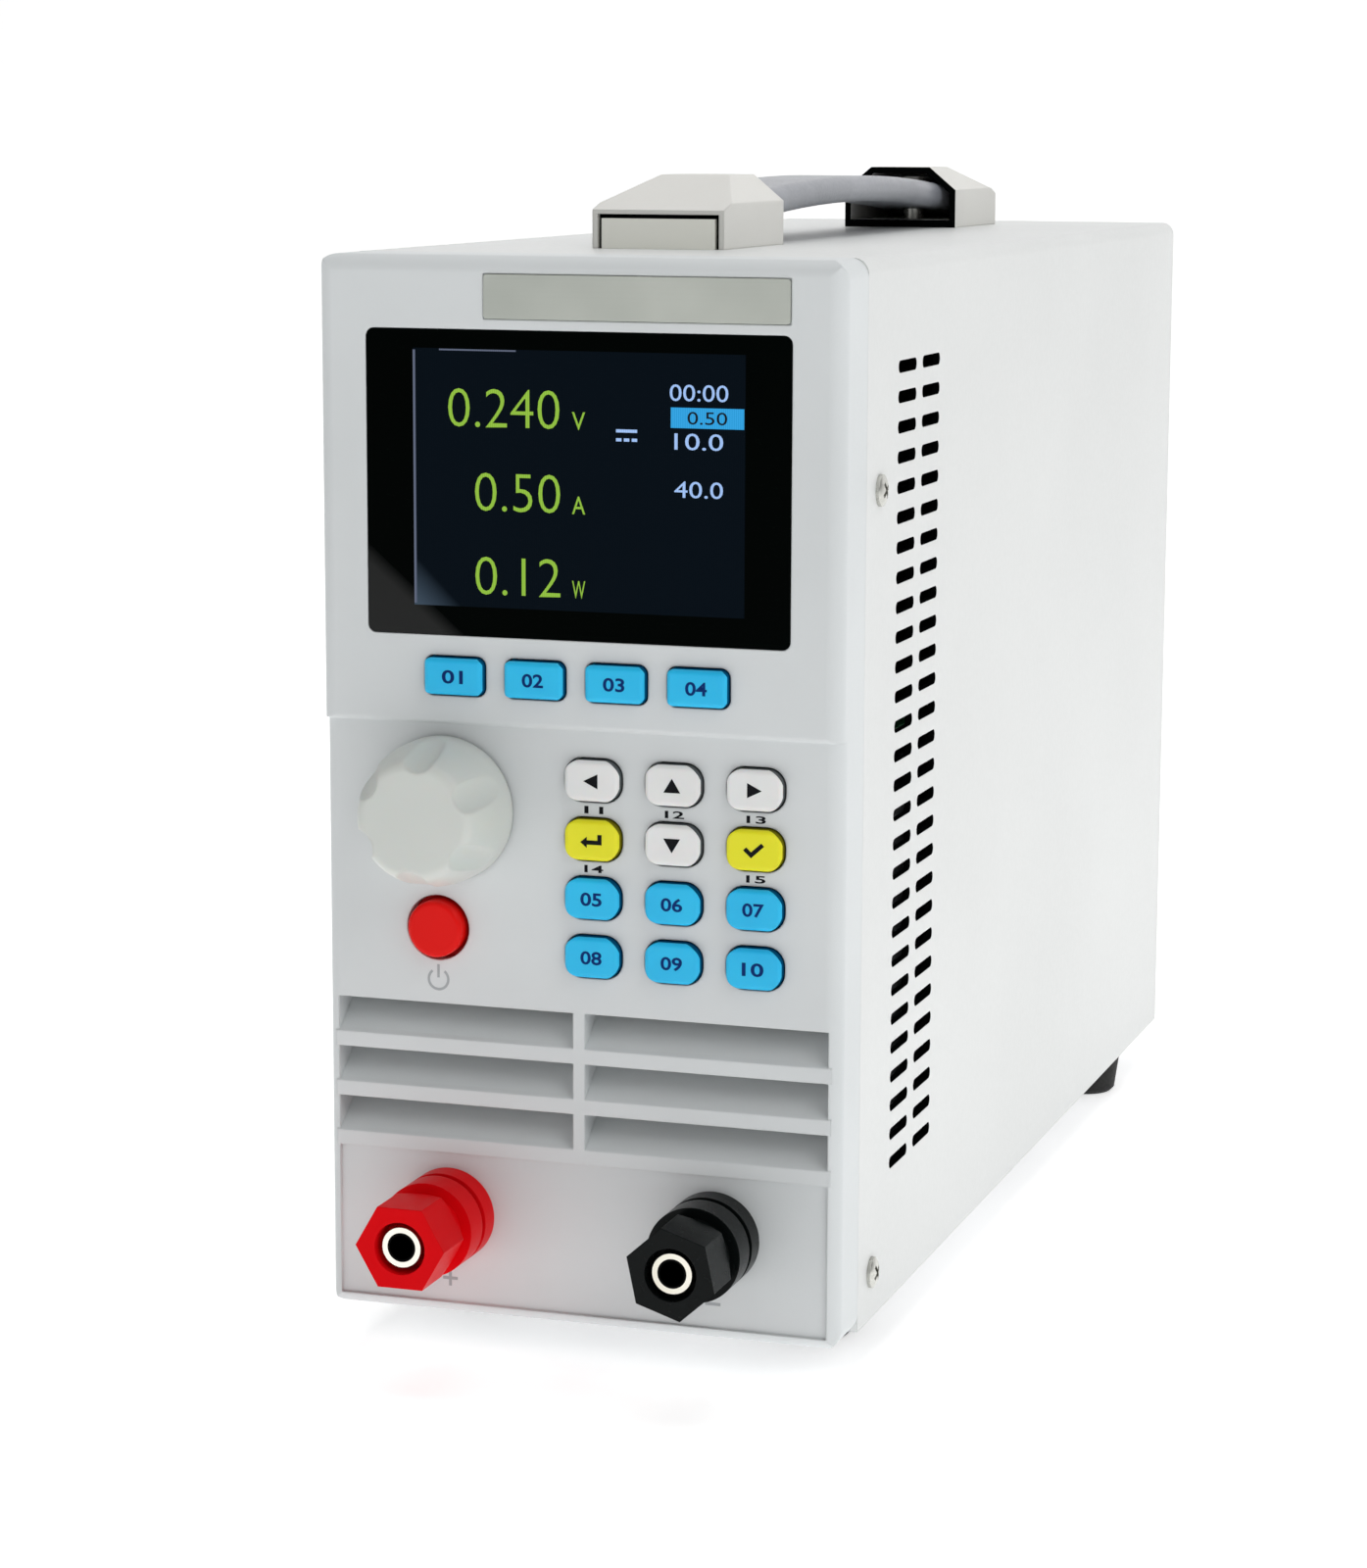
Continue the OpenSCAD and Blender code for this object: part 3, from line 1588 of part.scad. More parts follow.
front_bezel();
display_window();
display_module();
badge_plate();
front_board();
key_switches();
encoder_body();
power_switch();
front_frame();
bottom_chassis();
top_cover();
rear_panel();
feet();
case_screws();
inner_screws();
handle_front_cap();
handle_rear_cap();
handle_strap();
handle_end_plates();
post_base_red();
post_base_black();
post_studs();
post_nuts();
bus_bars();
heatsink();
power_transistors();
main_board();
board_standoffs();
board_parts();
transformer();
fan_frame();
mains_inlet();
data_port();
fan_rotor();
fuse_drawer();
fuse();
knob();
encoder_shaft();
power_button();
post_washer_red();
post_cap_red();
post_washer_black();
post_cap_black();
soft_key(0);  // key_soft_1
soft_key(1);  // key_soft_2
soft_key(2);  // key_soft_3
soft_key(3);  // key_soft_4
pad_key(0, 0, key_white);  // key_left
pad_key(1, 0, key_white);  // key_up
pad_key(2, 0, key_white);  // key_right
pad_key(0, 1, key_yellow);  // key_back
pad_key(1, 1, key_white);  // key_down
pad_key(2, 1, key_yellow);  // key_enter
pad_key(0, 2, key_blue);  // key_fn_1
pad_key(1, 2, key_blue);  // key_fn_2
pad_key(2, 2, key_blue);  // key_fn_3
pad_key(0, 3, key_blue);  // key_fn_4
pad_key(1, 3, key_blue);  // key_fn_5
pad_key(2, 3, key_blue);  // key_fn_6
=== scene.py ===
import math

import bmesh
import bpy
from mathutils import Matrix, Vector


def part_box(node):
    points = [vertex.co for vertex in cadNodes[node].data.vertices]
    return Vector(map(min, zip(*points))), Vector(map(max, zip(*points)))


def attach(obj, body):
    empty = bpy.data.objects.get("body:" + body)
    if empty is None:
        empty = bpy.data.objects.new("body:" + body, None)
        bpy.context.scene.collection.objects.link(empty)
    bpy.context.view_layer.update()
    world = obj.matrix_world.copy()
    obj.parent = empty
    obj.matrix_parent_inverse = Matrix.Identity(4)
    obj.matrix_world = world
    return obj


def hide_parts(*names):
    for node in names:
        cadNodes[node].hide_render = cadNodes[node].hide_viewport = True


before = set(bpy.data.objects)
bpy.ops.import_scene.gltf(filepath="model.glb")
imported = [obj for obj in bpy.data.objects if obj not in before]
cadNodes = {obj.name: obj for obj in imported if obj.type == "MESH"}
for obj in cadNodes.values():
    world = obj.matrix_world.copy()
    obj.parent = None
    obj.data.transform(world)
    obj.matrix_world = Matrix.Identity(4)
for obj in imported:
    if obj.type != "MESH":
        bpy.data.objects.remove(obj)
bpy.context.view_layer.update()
mm = 0.001
print("frame loaded:", len(cadNodes), "nodes")


# Colours are given as seen on a screen, 0 to 255, and used as linear light
def paint(red, green, blue):
    shares = [value / 255 for value in (red, green, blue)]
    linear = [s / 12.92 if s <= 0.04045 else ((s + 0.055) / 1.055) ** 2.4 for s in shares]
    return (*linear, 1.0)


# One node with its settings, inputs and links in a single call
def addNode(tree, kind, inputs=None, **settings):
    node = tree.nodes.new(kind)
    for key, value in settings.items():
        setattr(node, key, value)
    for key, value in (inputs or {}).items():
        if isinstance(value, bpy.types.NodeSocket):
            tree.links.new(value, node.inputs[key])
        else:
            node.inputs[key].default_value = value
    return node


def newMaterial(name, sockets):
    material = bpy.data.materials.new(name)
    material.use_nodes = True
    tree = material.node_tree
    shader = tree.nodes["Principled BSDF"]
    for key, value in sockets.items():
        shader.inputs[key].default_value = value
    place = addNode(tree, "ShaderNodeTexCoord").outputs["Object"]
    return material, tree, shader, place


def noiseAt(tree, place, scale, detail=2.0, stretch=None):
    if stretch:
        place = addNode(tree, "ShaderNodeMapping", {"Vector": place, "Scale": stretch}).outputs["Vector"]
    return addNode(tree, "ShaderNodeTexNoise", {"Vector": place, "Scale": scale, "Detail": detail}).outputs[0]


# Most of a noise's values lie between these
noiseLow, noiseHigh = 0.3, 0.7


def tone(tree, factor, dark, light, low=noiseLow, high=noiseHigh):
    ramp = addNode(tree, "ShaderNodeValToRGB", {"Fac": factor})
    ramp.color_ramp.elements[0].position = low
    ramp.color_ramp.elements[0].color = dark
    ramp.color_ramp.elements[1].position = high
    ramp.color_ramp.elements[1].color = light
    return ramp.outputs["Color"]


def remap(tree, value, given, wanted):
    limits = {"From Min": given[0], "From Max": given[1], "To Min": wanted[0], "To Max": wanted[1]}
    return addNode(tree, "ShaderNodeMapRange", {"Value": value, **limits}).outputs["Result"]


def spread(tree, factor, low, high):
    return remap(tree, factor, (noiseLow, noiseHigh), (low, high))


def calc(tree, kind, first, second=0.0):
    return addNode(tree, "ShaderNodeMath", {0: first, 1: second}, operation=kind).outputs[0]


def axes(tree, vector):
    return addNode(tree, "ShaderNodeSeparateXYZ", {"Vector": vector}).outputs


def mixColour(tree, share, under, over):
    return addNode(tree, "ShaderNodeMix", {0: share, 6: under, 7: over}, data_type="RGBA").outputs[2]


# The way a surface faces, and where it is, in the part's own axes
def facingOf(tree):
    return axes(tree, addNode(tree, "ShaderNodeTexCoord").outputs["Normal"])


def placeOf(tree):
    return axes(tree, addNode(tree, "ShaderNodeTexCoord").outputs["Object"])


# One where the value lies between two limits, and nought elsewhere
def within(tree, value, low, high):
    away = calc(tree, "ABSOLUTE", calc(tree, "SUBTRACT", value, (low + high) / 2))
    return calc(tree, "LESS_THAN", away, (high - low) / 2)


plainGloss = 0.5


# Lays a second colour, without gloss, where the mask is one
def maskColour(tree, shader, mask, colour):
    base = shader.inputs["Base Color"]
    under = base.links[0].from_socket
    tree.links.new(mixColour(tree, mask, under, colour), base)
    gloss = remap(tree, mask, (0.0, 1.0), (plainGloss, 0.0))
    tree.links.new(gloss, shader.inputs["Specular IOR Level"])


bevelSamples = 6
grainStrength = 0.6


# Edges catch the light as if broken by a small radius, under a fine grain
def grainNormal(tree, height, depth, edge):
    soft = addNode(tree, "ShaderNodeBevel", {"Radius": edge}, samples=bevelSamples)
    bump = {"Height": height, "Strength": grainStrength, "Distance": depth, "Normal": soft.outputs["Normal"]}
    return addNode(tree, "ShaderNodeBump", bump).outputs["Normal"]


# Moulded plastic: a slow drift of tone, a spark-eroded grain and slightly uneven gloss
def mouldedPlastic(name, look):
    material, tree, shader, place = newMaterial(name, look.get("sockets", {}))
    drift = noiseAt(tree, place, look.get("driftScale", 22.0), 3.0)
    grain = noiseAt(tree, place, look["grainScale"])
    tree.links.new(tone(tree, drift, look["dark"], look["light"]), shader.inputs["Base Color"])
    tree.links.new(spread(tree, grain, *look["roughness"]), shader.inputs["Roughness"])
    normal = grainNormal(tree, grain, look["grainDepth"], look["edge"])
    tree.links.new(normal, shader.inputs["Normal"])
    return material


# Powder coat: orange peel over sheet steel, darker towards the bottom of the sides, with painted shade on the
# walls of the punched slots
def powderCoat(name, look):
    material, tree, shader, place = newMaterial(name, {})
    drift = noiseAt(tree, place, look["driftScale"], 4.0)
    height = axes(tree, place)["Z"]
    # Darker towards the bottom of the sides
    lowDarkening = remap(tree, height, (0.0, look["darkeningTop"]), (look["lowDarkness"], 0.0))
    heightTone = calc(tree, "SUBTRACT", drift, lowDarkening)
    peel = noiseAt(tree, place, look["peelScale"], 1.0)
    tree.links.new(tone(tree, heightTone, look["dark"], look["light"]), shader.inputs["Base Color"])
    tree.links.new(spread(tree, peel, *look["roughness"]), shader.inputs["Roughness"])
    tree.links.new(grainNormal(tree, peel, look["peelDepth"], look["edge"]), shader.inputs["Normal"])
    # Painted shade: the walls of the punched slots, which face sideways, are painted near black
    low, high = look["sheet"]
    across = calc(tree, "LESS_THAN", calc(tree, "ABSOLUTE", facingOf(tree)["X"]), look["slotWallFacing"])
    inY = within(tree, axes(tree, place)["Y"], low.y + look["hem"], high.y - look["hem"])
    below = calc(tree, "LESS_THAN", height, high.z - look["bendRoom"])
    slotShade = calc(tree, "MULTIPLY", across, calc(tree, "MULTIPLY", inY, below))
    maskColour(tree, shader, slotShade, look["slotWallShade"])
    return material


cloudScale = 60.0


# Metal: streaks drawn out along one axis for brushing, drawing or turning
def workedMetal(name, look):
    material, tree, shader, place = newMaterial(name, {"Metallic": look.get("metallic", 1.0)})
    streaks = noiseAt(tree, place, look["streakScale"], 4.0, look["stretch"])
    cloud = noiseAt(tree, place, cloudScale)
    tree.links.new(tone(tree, cloud, look["dark"], look["light"]), shader.inputs["Base Color"])
    tree.links.new(spread(tree, streaks, *look["roughness"]), shader.inputs["Roughness"])
    normal = grainNormal(tree, streaks, look["streakDepth"], look["edge"])
    tree.links.new(normal, shader.inputs["Normal"])
    return material


# Printed circuit board: solder mask with copper tracks showing through
def circuitBoard(name, look):
    material, tree, shader, place = newMaterial(name, {"Roughness": look["roughness"]})
    tracks = addNode(tree, "ShaderNodeTexBrick", {"Vector": place, "Scale": look["trackScale"]})
    tracks.inputs["Color1"].default_value = look["mask"]
    tracks.inputs["Color2"].default_value = look["maskDark"]
    tracks.inputs["Mortar"].default_value = look["track"]
    tree.links.new(tracks.outputs["Color"], shader.inputs["Base Color"])
    relief = {"Strength": look["trackStrength"], "Distance": look["trackDepth"]}
    bump = addNode(tree, "ShaderNodeBump", {"Height": tracks.outputs["Fac"], **relief})
    tree.links.new(bump.outputs["Normal"], shader.inputs["Normal"])
    return material


# One in a lower left corner, fading to nought along a slant that reaches so far across and up
def cornerShare(tree, place, look):
    at = axes(tree, place)
    across = calc(tree, "DIVIDE", calc(tree, "SUBTRACT", at["X"], look["corner"][0]), look["across"])
    up = calc(tree, "DIVIDE", calc(tree, "SUBTRACT", at["Z"], look["corner"][1]), look["up"])
    return remap(tree, calc(tree, "ADD", across, up), (1 - look["soft"], 1 + look["soft"]), (1.0, 0.0))


filmMirror = 0.012
dotScale = 900.0
screenSockets = {
    "Base Color": (0.002, 0.002, 0.003, 1.0), "Roughness": 0.25, "Specular IOR Level": filmMirror,
    "Emission Strength": 1.0,
}


# Light from the screen, broken by the faint columns of its dots
def screenLight(name, dark, light, paintedReflection=None):
    material, tree, shader, place = newMaterial(name, screenSockets)
    dots = {"Vector": place, "Scale": dotScale, "Distortion": 0.0}
    columns = addNode(tree, "ShaderNodeTexWave", dots, bands_direction="X").outputs["Fac"]
    glow = tone(tree, columns, dark, light, 0.0, 1.0)
    # A painted reflection, glowing in a corner of the panel
    if paintedReflection:
        glow = mixColour(tree, cornerShare(tree, place, paintedReflection), glow, paintedReflection["colour"])
    tree.links.new(glow, shader.inputs["Emission Color"])
    return material


def blackGlass(name, look):
    material, tree, shader, place = newMaterial(name, {})
    smear = noiseAt(tree, place, look["smearScale"], 3.0)
    tree.links.new(tone(tree, smear, look["dark"], look["light"]), shader.inputs["Base Color"])
    tree.links.new(spread(tree, smear, *look["roughness"]), shader.inputs["Roughness"])
    mirror = remap(tree, cornerShare(tree, place, look["sheen"]), (0.0, 1.0), look["mirror"])
    tree.links.new(mirror, shader.inputs["Specular IOR Level"])
    return material


# Finishes of the object, named as the record's slots
bezelPlastic = mouldedPlastic("bezel_plastic", {
    "dark": paint(216, 220, 221), "light": paint(222, 226, 227), "roughness": (0.42, 0.56),
    "grainScale": 2600.0, "grainDepth": 0.02 * mm, "edge": 0.45 * mm,
})
casePaint = powderCoat("case_paint", {
    "dark": paint(219, 221, 220), "light": paint(226, 228, 227), "roughness": (0.34, 0.46),
    "peelScale": 1100.0, "peelDepth": 0.012 * mm, "edge": 0.3 * mm,
    "driftScale": 9.0, "darkeningTop": 50.0 * mm, "lowDarkness": 0.16,
    "sheet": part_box("top_cover"), "hem": 2.5 * mm, "bendRoom": 6.0 * mm,
    # painted shade on the walls of the punched slots
    "slotWallShade": paint(10, 11, 11), "slotWallFacing": 0.5,
})
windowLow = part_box("display_window")[0]
windowCorner = (windowLow.x, windowLow.z)
# The window mirrors the room a little in its lower left corner
windowBlack = blackGlass("window_black", {
    "dark": paint(1, 3, 2), "light": paint(1, 4, 3), "roughness": (0.04, 0.09),
    "smearScale": 45.0, "mirror": (filmMirror, 0.24),
    "sheen": {"corner": windowCorner, "across": 15.0 * mm, "up": 13.0 * mm, "soft": 0.12},
})
badgeSilver = workedMetal("badge_silver", {
    "dark": paint(184, 189, 181), "light": paint(200, 204, 196), "metallic": 0.5, "roughness": (0.34, 0.5),
    "streakScale": 420.0, "stretch": (0.02, 1.0, 6.0), "streakDepth": 0.01 * mm, "edge": 0.15 * mm,
})
boardGreen = circuitBoard("board_green", {
    "mask": paint(20, 88, 50), "maskDark": paint(16, 74, 42), "track": paint(52, 118, 66), "roughness": 0.35,
    "trackScale": 160.0, "trackStrength": 0.3, "trackDepth": 0.05 * mm,
})
blackPlastic = mouldedPlastic("black_plastic", {
    "dark": paint(20, 20, 22), "light": paint(30, 30, 32), "roughness": (0.4, 0.58),
    "grainScale": 2400.0, "grainDepth": 0.02 * mm, "edge": 0.25 * mm,
})
innerSteel = workedMetal("inner_steel", {
    "dark": paint(150, 153, 156), "light": paint(196, 198, 200), "roughness": (0.3, 0.48),
    "streakScale": 260.0, "stretch": (1.0, 0.15, 1.0), "streakDepth": 0.01 * mm, "edge": 0.2 * mm,
})
screwSteel = workedMetal("screw_steel", {
    "dark": paint(176, 176, 170), "light": paint(214, 214, 208), "roughness": (0.22, 0.4),
    "streakScale": 900.0, "stretch": (1.0, 1.0, 1.0), "streakDepth": 0.006 * mm, "edge": 0.15 * mm,
})
footRubber = mouldedPlastic("foot_rubber", {
    "dark": paint(22, 22, 22), "light": paint(34, 34, 34), "roughness": (0.7, 0.86),
    "grainScale": 1500.0, "grainDepth": 0.03 * mm, "edge": 0.4 * mm,
})
handleWhite = mouldedPlastic("handle_white", {
    "dark": paint(226, 225, 220), "light": paint(233, 232, 227), "roughness": (0.4, 0.54),
    "grainScale": 2200.0, "grainDepth": 0.02 * mm, "edge": 0.6 * mm,
})


# The end caps get painted shade inside: on their mouths, on the floors of the plates' pockets and behind
def paintShadeInMouths(material, colour, skin, squareOn):
    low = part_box("handle_front_cap")[0].y + skin
    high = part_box("handle_rear_cap")[1].y - skin
    tree = material.node_tree
    upright = calc(tree, "GREATER_THAN", calc(tree, "ABSOLUTE", facingOf(tree)["Y"]), squareOn)
    inside = within(tree, placeOf(tree)["Y"], low, high)
    maskColour(tree, tree.nodes["Principled BSDF"], calc(tree, "MULTIPLY", upright, inside), colour)


paintShadeInMouths(handleWhite, paint(8, 10, 10), 0.4 * mm, 0.9)
strapGrey = mouldedPlastic("strap_grey", {
    "dark": paint(130, 133, 141), "light": paint(150, 153, 161), "roughness": (0.28, 0.4),
    "grainScale": 1400.0, "grainDepth": 0.02 * mm, "edge": 0.4 * mm, "driftScale": 60.0,
})
endPlateNickel = workedMetal("end_plate_nickel", {
    "dark": paint(246, 246, 237), "light": paint(252, 252, 243), "metallic": 0.04, "roughness": (0.36, 0.5),
    "streakScale": 500.0, "stretch": (0.03, 1.0, 5.0), "streakDepth": 0.008 * mm, "edge": 0.2 * mm,
})
postRed = mouldedPlastic("post_red", {
    "dark": paint(222, 5, 14), "light": paint(230, 9, 20), "roughness": (0.3, 0.34),
    "grainScale": 900.0, "grainDepth": 0.002 * mm, "edge": 0.2 * mm,
    "sockets": {"IOR": 1.12},
})
postBlack = mouldedPlastic("post_black", {
    "dark": paint(6, 9, 9), "light": paint(11, 15, 15), "roughness": (0.24, 0.28),
    "grainScale": 900.0, "grainDepth": 0.002 * mm, "edge": 0.2 * mm,
    "sockets": {"IOR": 1.2},
})
platedMetal = workedMetal("plated_metal", {
    "dark": paint(216, 212, 198), "light": paint(240, 237, 226), "roughness": (0.12, 0.26),
    "streakScale": 700.0, "stretch": (1.0, 8.0, 1.0), "streakDepth": 0.006 * mm, "edge": 0.12 * mm,
})


# The studs' plug sockets get painted shade inside, and a painted dark ring round their mouths stands in for
# the shade of a countersink
def paintShadeInSockets(material, colour, skin, mouth):
    low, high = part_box("post_cap_black")
    tree = material.node_tree
    at = placeOf(tree)
    normal = facingOf(tree)
    out = calc(tree, "SUBTRACT", calc(tree, "ABSOLUTE", at["X"]), (low.x + high.x) / 2)
    turned = calc(tree, "MULTIPLY", normal["X"], calc(tree, "SIGN", at["X"]))
    up = calc(tree, "SUBTRACT", at["Z"], (low.z + high.z) / 2)
    inward = calc(tree, "ADD", calc(tree, "MULTIPLY", out, turned), calc(tree, "MULTIPLY", up, normal["Z"]))
    holeShade = calc(tree, "LESS_THAN", inward, -skin)
    away = calc(tree, "ADD", calc(tree, "MULTIPLY", out, out), calc(tree, "MULTIPLY", up, up))
    rimShade = calc(tree, "LESS_THAN", away, mouth * mouth)
    near = within(tree, up, low.z - high.z, high.z - low.z)
    mask = calc(tree, "MULTIPLY", calc(tree, "MAXIMUM", holeShade, rimShade), near)
    maskColour(tree, tree.nodes["Principled BSDF"], mask, colour)


paintShadeInSockets(platedMetal, paint(9, 9, 9), 0.5 * mm, 2.4 * mm)
brassMetal = workedMetal("brass_metal", {
    "dark": paint(180, 148, 78), "light": paint(212, 182, 106), "roughness": (0.2, 0.36),
    "streakScale": 600.0, "stretch": (1.0, 6.0, 1.0), "streakDepth": 0.006 * mm, "edge": 0.15 * mm,
})
copperMetal = workedMetal("copper_metal", {
    "dark": paint(176, 102, 66), "light": paint(206, 132, 92), "roughness": (0.22, 0.4),
    "streakScale": 400.0, "stretch": (1.0, 0.1, 1.0), "streakDepth": 0.008 * mm, "edge": 0.15 * mm,
})
sinkAluminium = workedMetal("sink_aluminium", {
    "dark": paint(160, 163, 167), "light": paint(192, 195, 198), "roughness": (0.28, 0.44),
    "streakScale": 500.0, "stretch": (1.0, 0.02, 1.0), "streakDepth": 0.02 * mm, "edge": 0.2 * mm,
})
coreSteel = workedMetal("core_steel", {
    "dark": paint(70, 70, 72), "light": paint(98, 98, 100), "roughness": (0.4, 0.6),
    "streakScale": 1200.0, "stretch": (0.05, 1.0, 0.05), "streakDepth": 0.03 * mm, "edge": 0.2 * mm,
})
fuseCeramic = mouldedPlastic("fuse_ceramic", {
    "dark": paint(214, 212, 204), "light": paint(226, 224, 216), "roughness": (0.14, 0.24),
    "grainScale": 1200.0, "grainDepth": 0.006 * mm, "edge": 0.2 * mm,
})
knobWhite = mouldedPlastic("knob_white", {
    "dark": paint(210, 214, 209), "light": paint(217, 221, 216), "roughness": (0.36, 0.48),
    "grainScale": 2400.0, "grainDepth": 0.015 * mm, "edge": 0.9 * mm,
    "sockets": {"Subsurface Weight": 0.08, "Subsurface Scale": 1.0 * mm},
})
buttonRed = mouldedPlastic("button_red", {
    "dark": paint(228, 12, 8), "light": paint(236, 18, 12), "roughness": (0.34, 0.42),
    "grainScale": 1600.0, "grainDepth": 0.006 * mm, "edge": 0.4 * mm,
    "sockets": {"Specular IOR Level": 0.14},
})


keyFront = -0.35


# The keys are cast in coloured silicone, which lets a little light in, and get painted shade down their sides
def siliconeKey(name, dark, light, side):
    material = mouldedPlastic(name, {
        "dark": dark, "light": light, "roughness": (0.42, 0.56),
        "grainScale": 1800.0, "grainDepth": 0.012 * mm, "edge": 0.5 * mm, "driftScale": 90.0,
        "sockets": {"Subsurface Weight": 0.12, "Subsurface Scale": 0.8 * mm},
    })
    tree = material.node_tree
    shadedSides = calc(tree, "GREATER_THAN", facingOf(tree)["Y"], keyFront)
    maskColour(tree, tree.nodes["Principled BSDF"], shadedSides, side)
    return material


# The last colour of each key is the painted shade of its sides
keyBlue = siliconeKey("key_blue", paint(20, 190, 244), paint(28, 200, 250), paint(8, 84, 126))
keyWhite = siliconeKey("key_white", paint(232, 233, 232), paint(240, 241, 240), paint(96, 100, 102))
keyYellow = siliconeKey("key_yellow", paint(234, 230, 10), paint(242, 238, 22), paint(122, 116, 20))
inkFilm = {"grainScale": 3000.0, "grainDepth": 0.004 * mm, "edge": 0.02 * mm}
mattInk = {**inkFilm, "roughness": (0.5, 0.7), "sockets": {"Specular IOR Level": 0.1}}
legendInk = mouldedPlastic("legend_ink", {**mattInk, "dark": paint(12, 13, 16), "light": paint(20, 21, 26)})
navyInk = mouldedPlastic("navy_ink", {**mattInk, "dark": paint(5, 42, 104), "light": paint(9, 50, 116)})
paleInk = mouldedPlastic("pale_ink", {
    **inkFilm, "dark": paint(164, 169, 172), "light": paint(174, 178, 181), "roughness": (0.5, 0.66),
})

blueKeys = [f"key_soft_{i}" for i in range(1, 5)] + [f"key_fn_{i}" for i in range(1, 7)]
finishes = {
    bezelPlastic: ["front_bezel"],
    casePaint: ["top_cover", "rear_panel"],
    windowBlack: ["display_window"],
    badgeSilver: ["badge_plate"],
    boardGreen: ["front_board", "main_board"],
    blackPlastic: ["key_switches", "power_switch", "power_transistors", "board_parts", "fan_frame",
                   "fan_rotor", "mains_inlet", "fuse_drawer"],
    innerSteel: ["front_frame", "bottom_chassis", "display_module", "encoder_body", "encoder_shaft"],
    screwSteel: ["case_screws", "inner_screws"],
    footRubber: ["feet"],
    handleWhite: ["handle_front_cap", "handle_rear_cap"],
    strapGrey: ["handle_strap"],
    endPlateNickel: ["handle_end_plates"],
    postRed: ["post_base_red", "post_cap_red"],
    postBlack: ["post_base_black", "post_cap_black"],
    platedMetal: ["post_studs", "post_washer_red", "post_washer_black", "data_port"],
    brassMetal: ["post_nuts", "board_standoffs"],
    copperMetal: ["bus_bars"],
    sinkAluminium: ["heatsink"],
    coreSteel: ["transformer"],
    fuseCeramic: ["fuse"],
    knobWhite: ["knob"],
    buttonRed: ["power_button"],
    keyBlue: blueKeys,
    keyWhite: ["key_left", "key_up", "key_right", "key_down"],
    keyYellow: ["key_back", "key_enter"],
}
for material, names in finishes.items():
    for name in names:
        cadNodes[name].data.materials.clear()
        cadNodes[name].data.materials.append(material)
print("finishes on", sum(len(names) for names in finishes.values()), "nodes")


# A finished mesh becomes a piece that moves with its body
def addPiece(name, mesh, material, body):
    piece = bpy.data.objects.new(name, mesh)
    bpy.context.scene.collection.objects.link(piece)
    mesh.materials.clear()
    mesh.materials.append(material)
    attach(piece, body)
    return piece


def middle(node):
    low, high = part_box(node)
    return (low + high) / 2


# The middle of a node's front face
def frontOf(node):
    at = middle(node)
    at.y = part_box(node)[0].y
    return at


# Flat print: outlines in the front plane, raised by a film's thickness from the face at y
def printMesh(name, outlines, at, film):
    work = bmesh.new()
    for outline in outlines:
        corners = [work.verts.new((at.x + x * mm, at.y, at.z + z * mm)) for x, z in outline]
        work.faces.new(corners)
    bmesh.ops.recalc_face_normals(work, faces=work.faces[:])
    raised = bmesh.ops.extrude_face_region(work, geom=work.faces[:])
    moved = [item for item in raised["geom"] if isinstance(item, bmesh.types.BMVert)]
    bmesh.ops.translate(work, verts=moved, vec=(0, -film, 0))
    bmesh.ops.recalc_face_normals(work, faces=work.faces[:])
    mesh = bpy.data.meshes.new(name)
    work.to_mesh(mesh)
    work.free()
    return mesh


halfDepth = 0.5
figureSteps = 4


# Figures set to a given width and height about a point of the front plane, in millimetres
def figureMesh(name, words, width, height, at, film, weight=0.0):
    curve = bpy.data.curves.new(name, "FONT")
    curve.body = words
    curve.size = 1.0
    curve.offset = weight
    curve.extrude = halfDepth
    curve.resolution_u = figureSteps
    holder = bpy.data.objects.new(name, curve)
    bpy.context.scene.collection.objects.link(holder)
    bpy.context.view_layer.update()
    ready = holder.evaluated_get(bpy.context.evaluated_depsgraph_get())
    mesh = bpy.data.meshes.new_from_object(ready)
    bpy.data.objects.remove(holder)
    bpy.data.curves.remove(curve)
    xs = [v.co.x for v in mesh.vertices]
    ys = [v.co.y for v in mesh.vertices]
    centre = Vector(((min(xs) + max(xs)) / 2, (min(ys) + max(ys)) / 2, halfDepth))
    fit = Vector((width * mm / (max(xs) - min(xs)), height * mm / (max(ys) - min(ys)), film))
    stand = Matrix.Rotation(math.pi / 2, 4, "X")
    place = Matrix.Translation(at) @ stand @ Matrix.Diagonal((*fit, 1)) @ Matrix.Translation(-centre)
    place = Matrix.Translation((0, -film, 0)) @ place
    mesh.transform(place)
    return mesh


def joinMeshes(name, meshes):
    work = bmesh.new()
    for mesh in meshes:
        work.from_mesh(mesh)
        bpy.data.meshes.remove(mesh)
    bmesh.ops.remove_doubles(work, verts=work.verts[:], dist=1e-7)
    joined = bpy.data.meshes.new(name)
    work.to_mesh(joined)
    work.free()
    return joined


def bar(x, z, width, height):
    return [(x - width / 2, z - height / 2), (x + width / 2, z - height / 2),
            (x + width / 2, z + height / 2), (x - width / 2, z + height / 2)]


# Screen: a lit panel on the window, with readings in plain numbers
screen = {
    "left": -27.5, "right": 28.0, "bottom": -19.7, "top": 21.4, "film": 0.02 * mm,
    "readings": [("0.240", 18.8, -12.1, 12.1), ("0.50", 14.4, -9.8, -1.2), ("0.12", 14.4, -9.8, -14.6)],
    "readingHeight": 6.1, "readingWeight": -0.012,
    "units": ["V", "A", "W"], "unitX": 0.5, "unitSize": (2.2, 2.8),
    "side": [("00:00", 9.6, 15.3), ("10.0", 8.0, 7.7), ("40.0", 8.0, 0.2)],
    "sideX": 20.4, "sideHeight": 2.6, "bar": (21.8, 11.4, 12.0, 3.2), "barFigures": ("0.50", 6.5, 2.0),
    "sign": (8.5, 8.4), "signWide": 3.5, "signLine": 0.5, "signApart": 1.3, "edges": (0.4, 0.25, 11, 13),
}
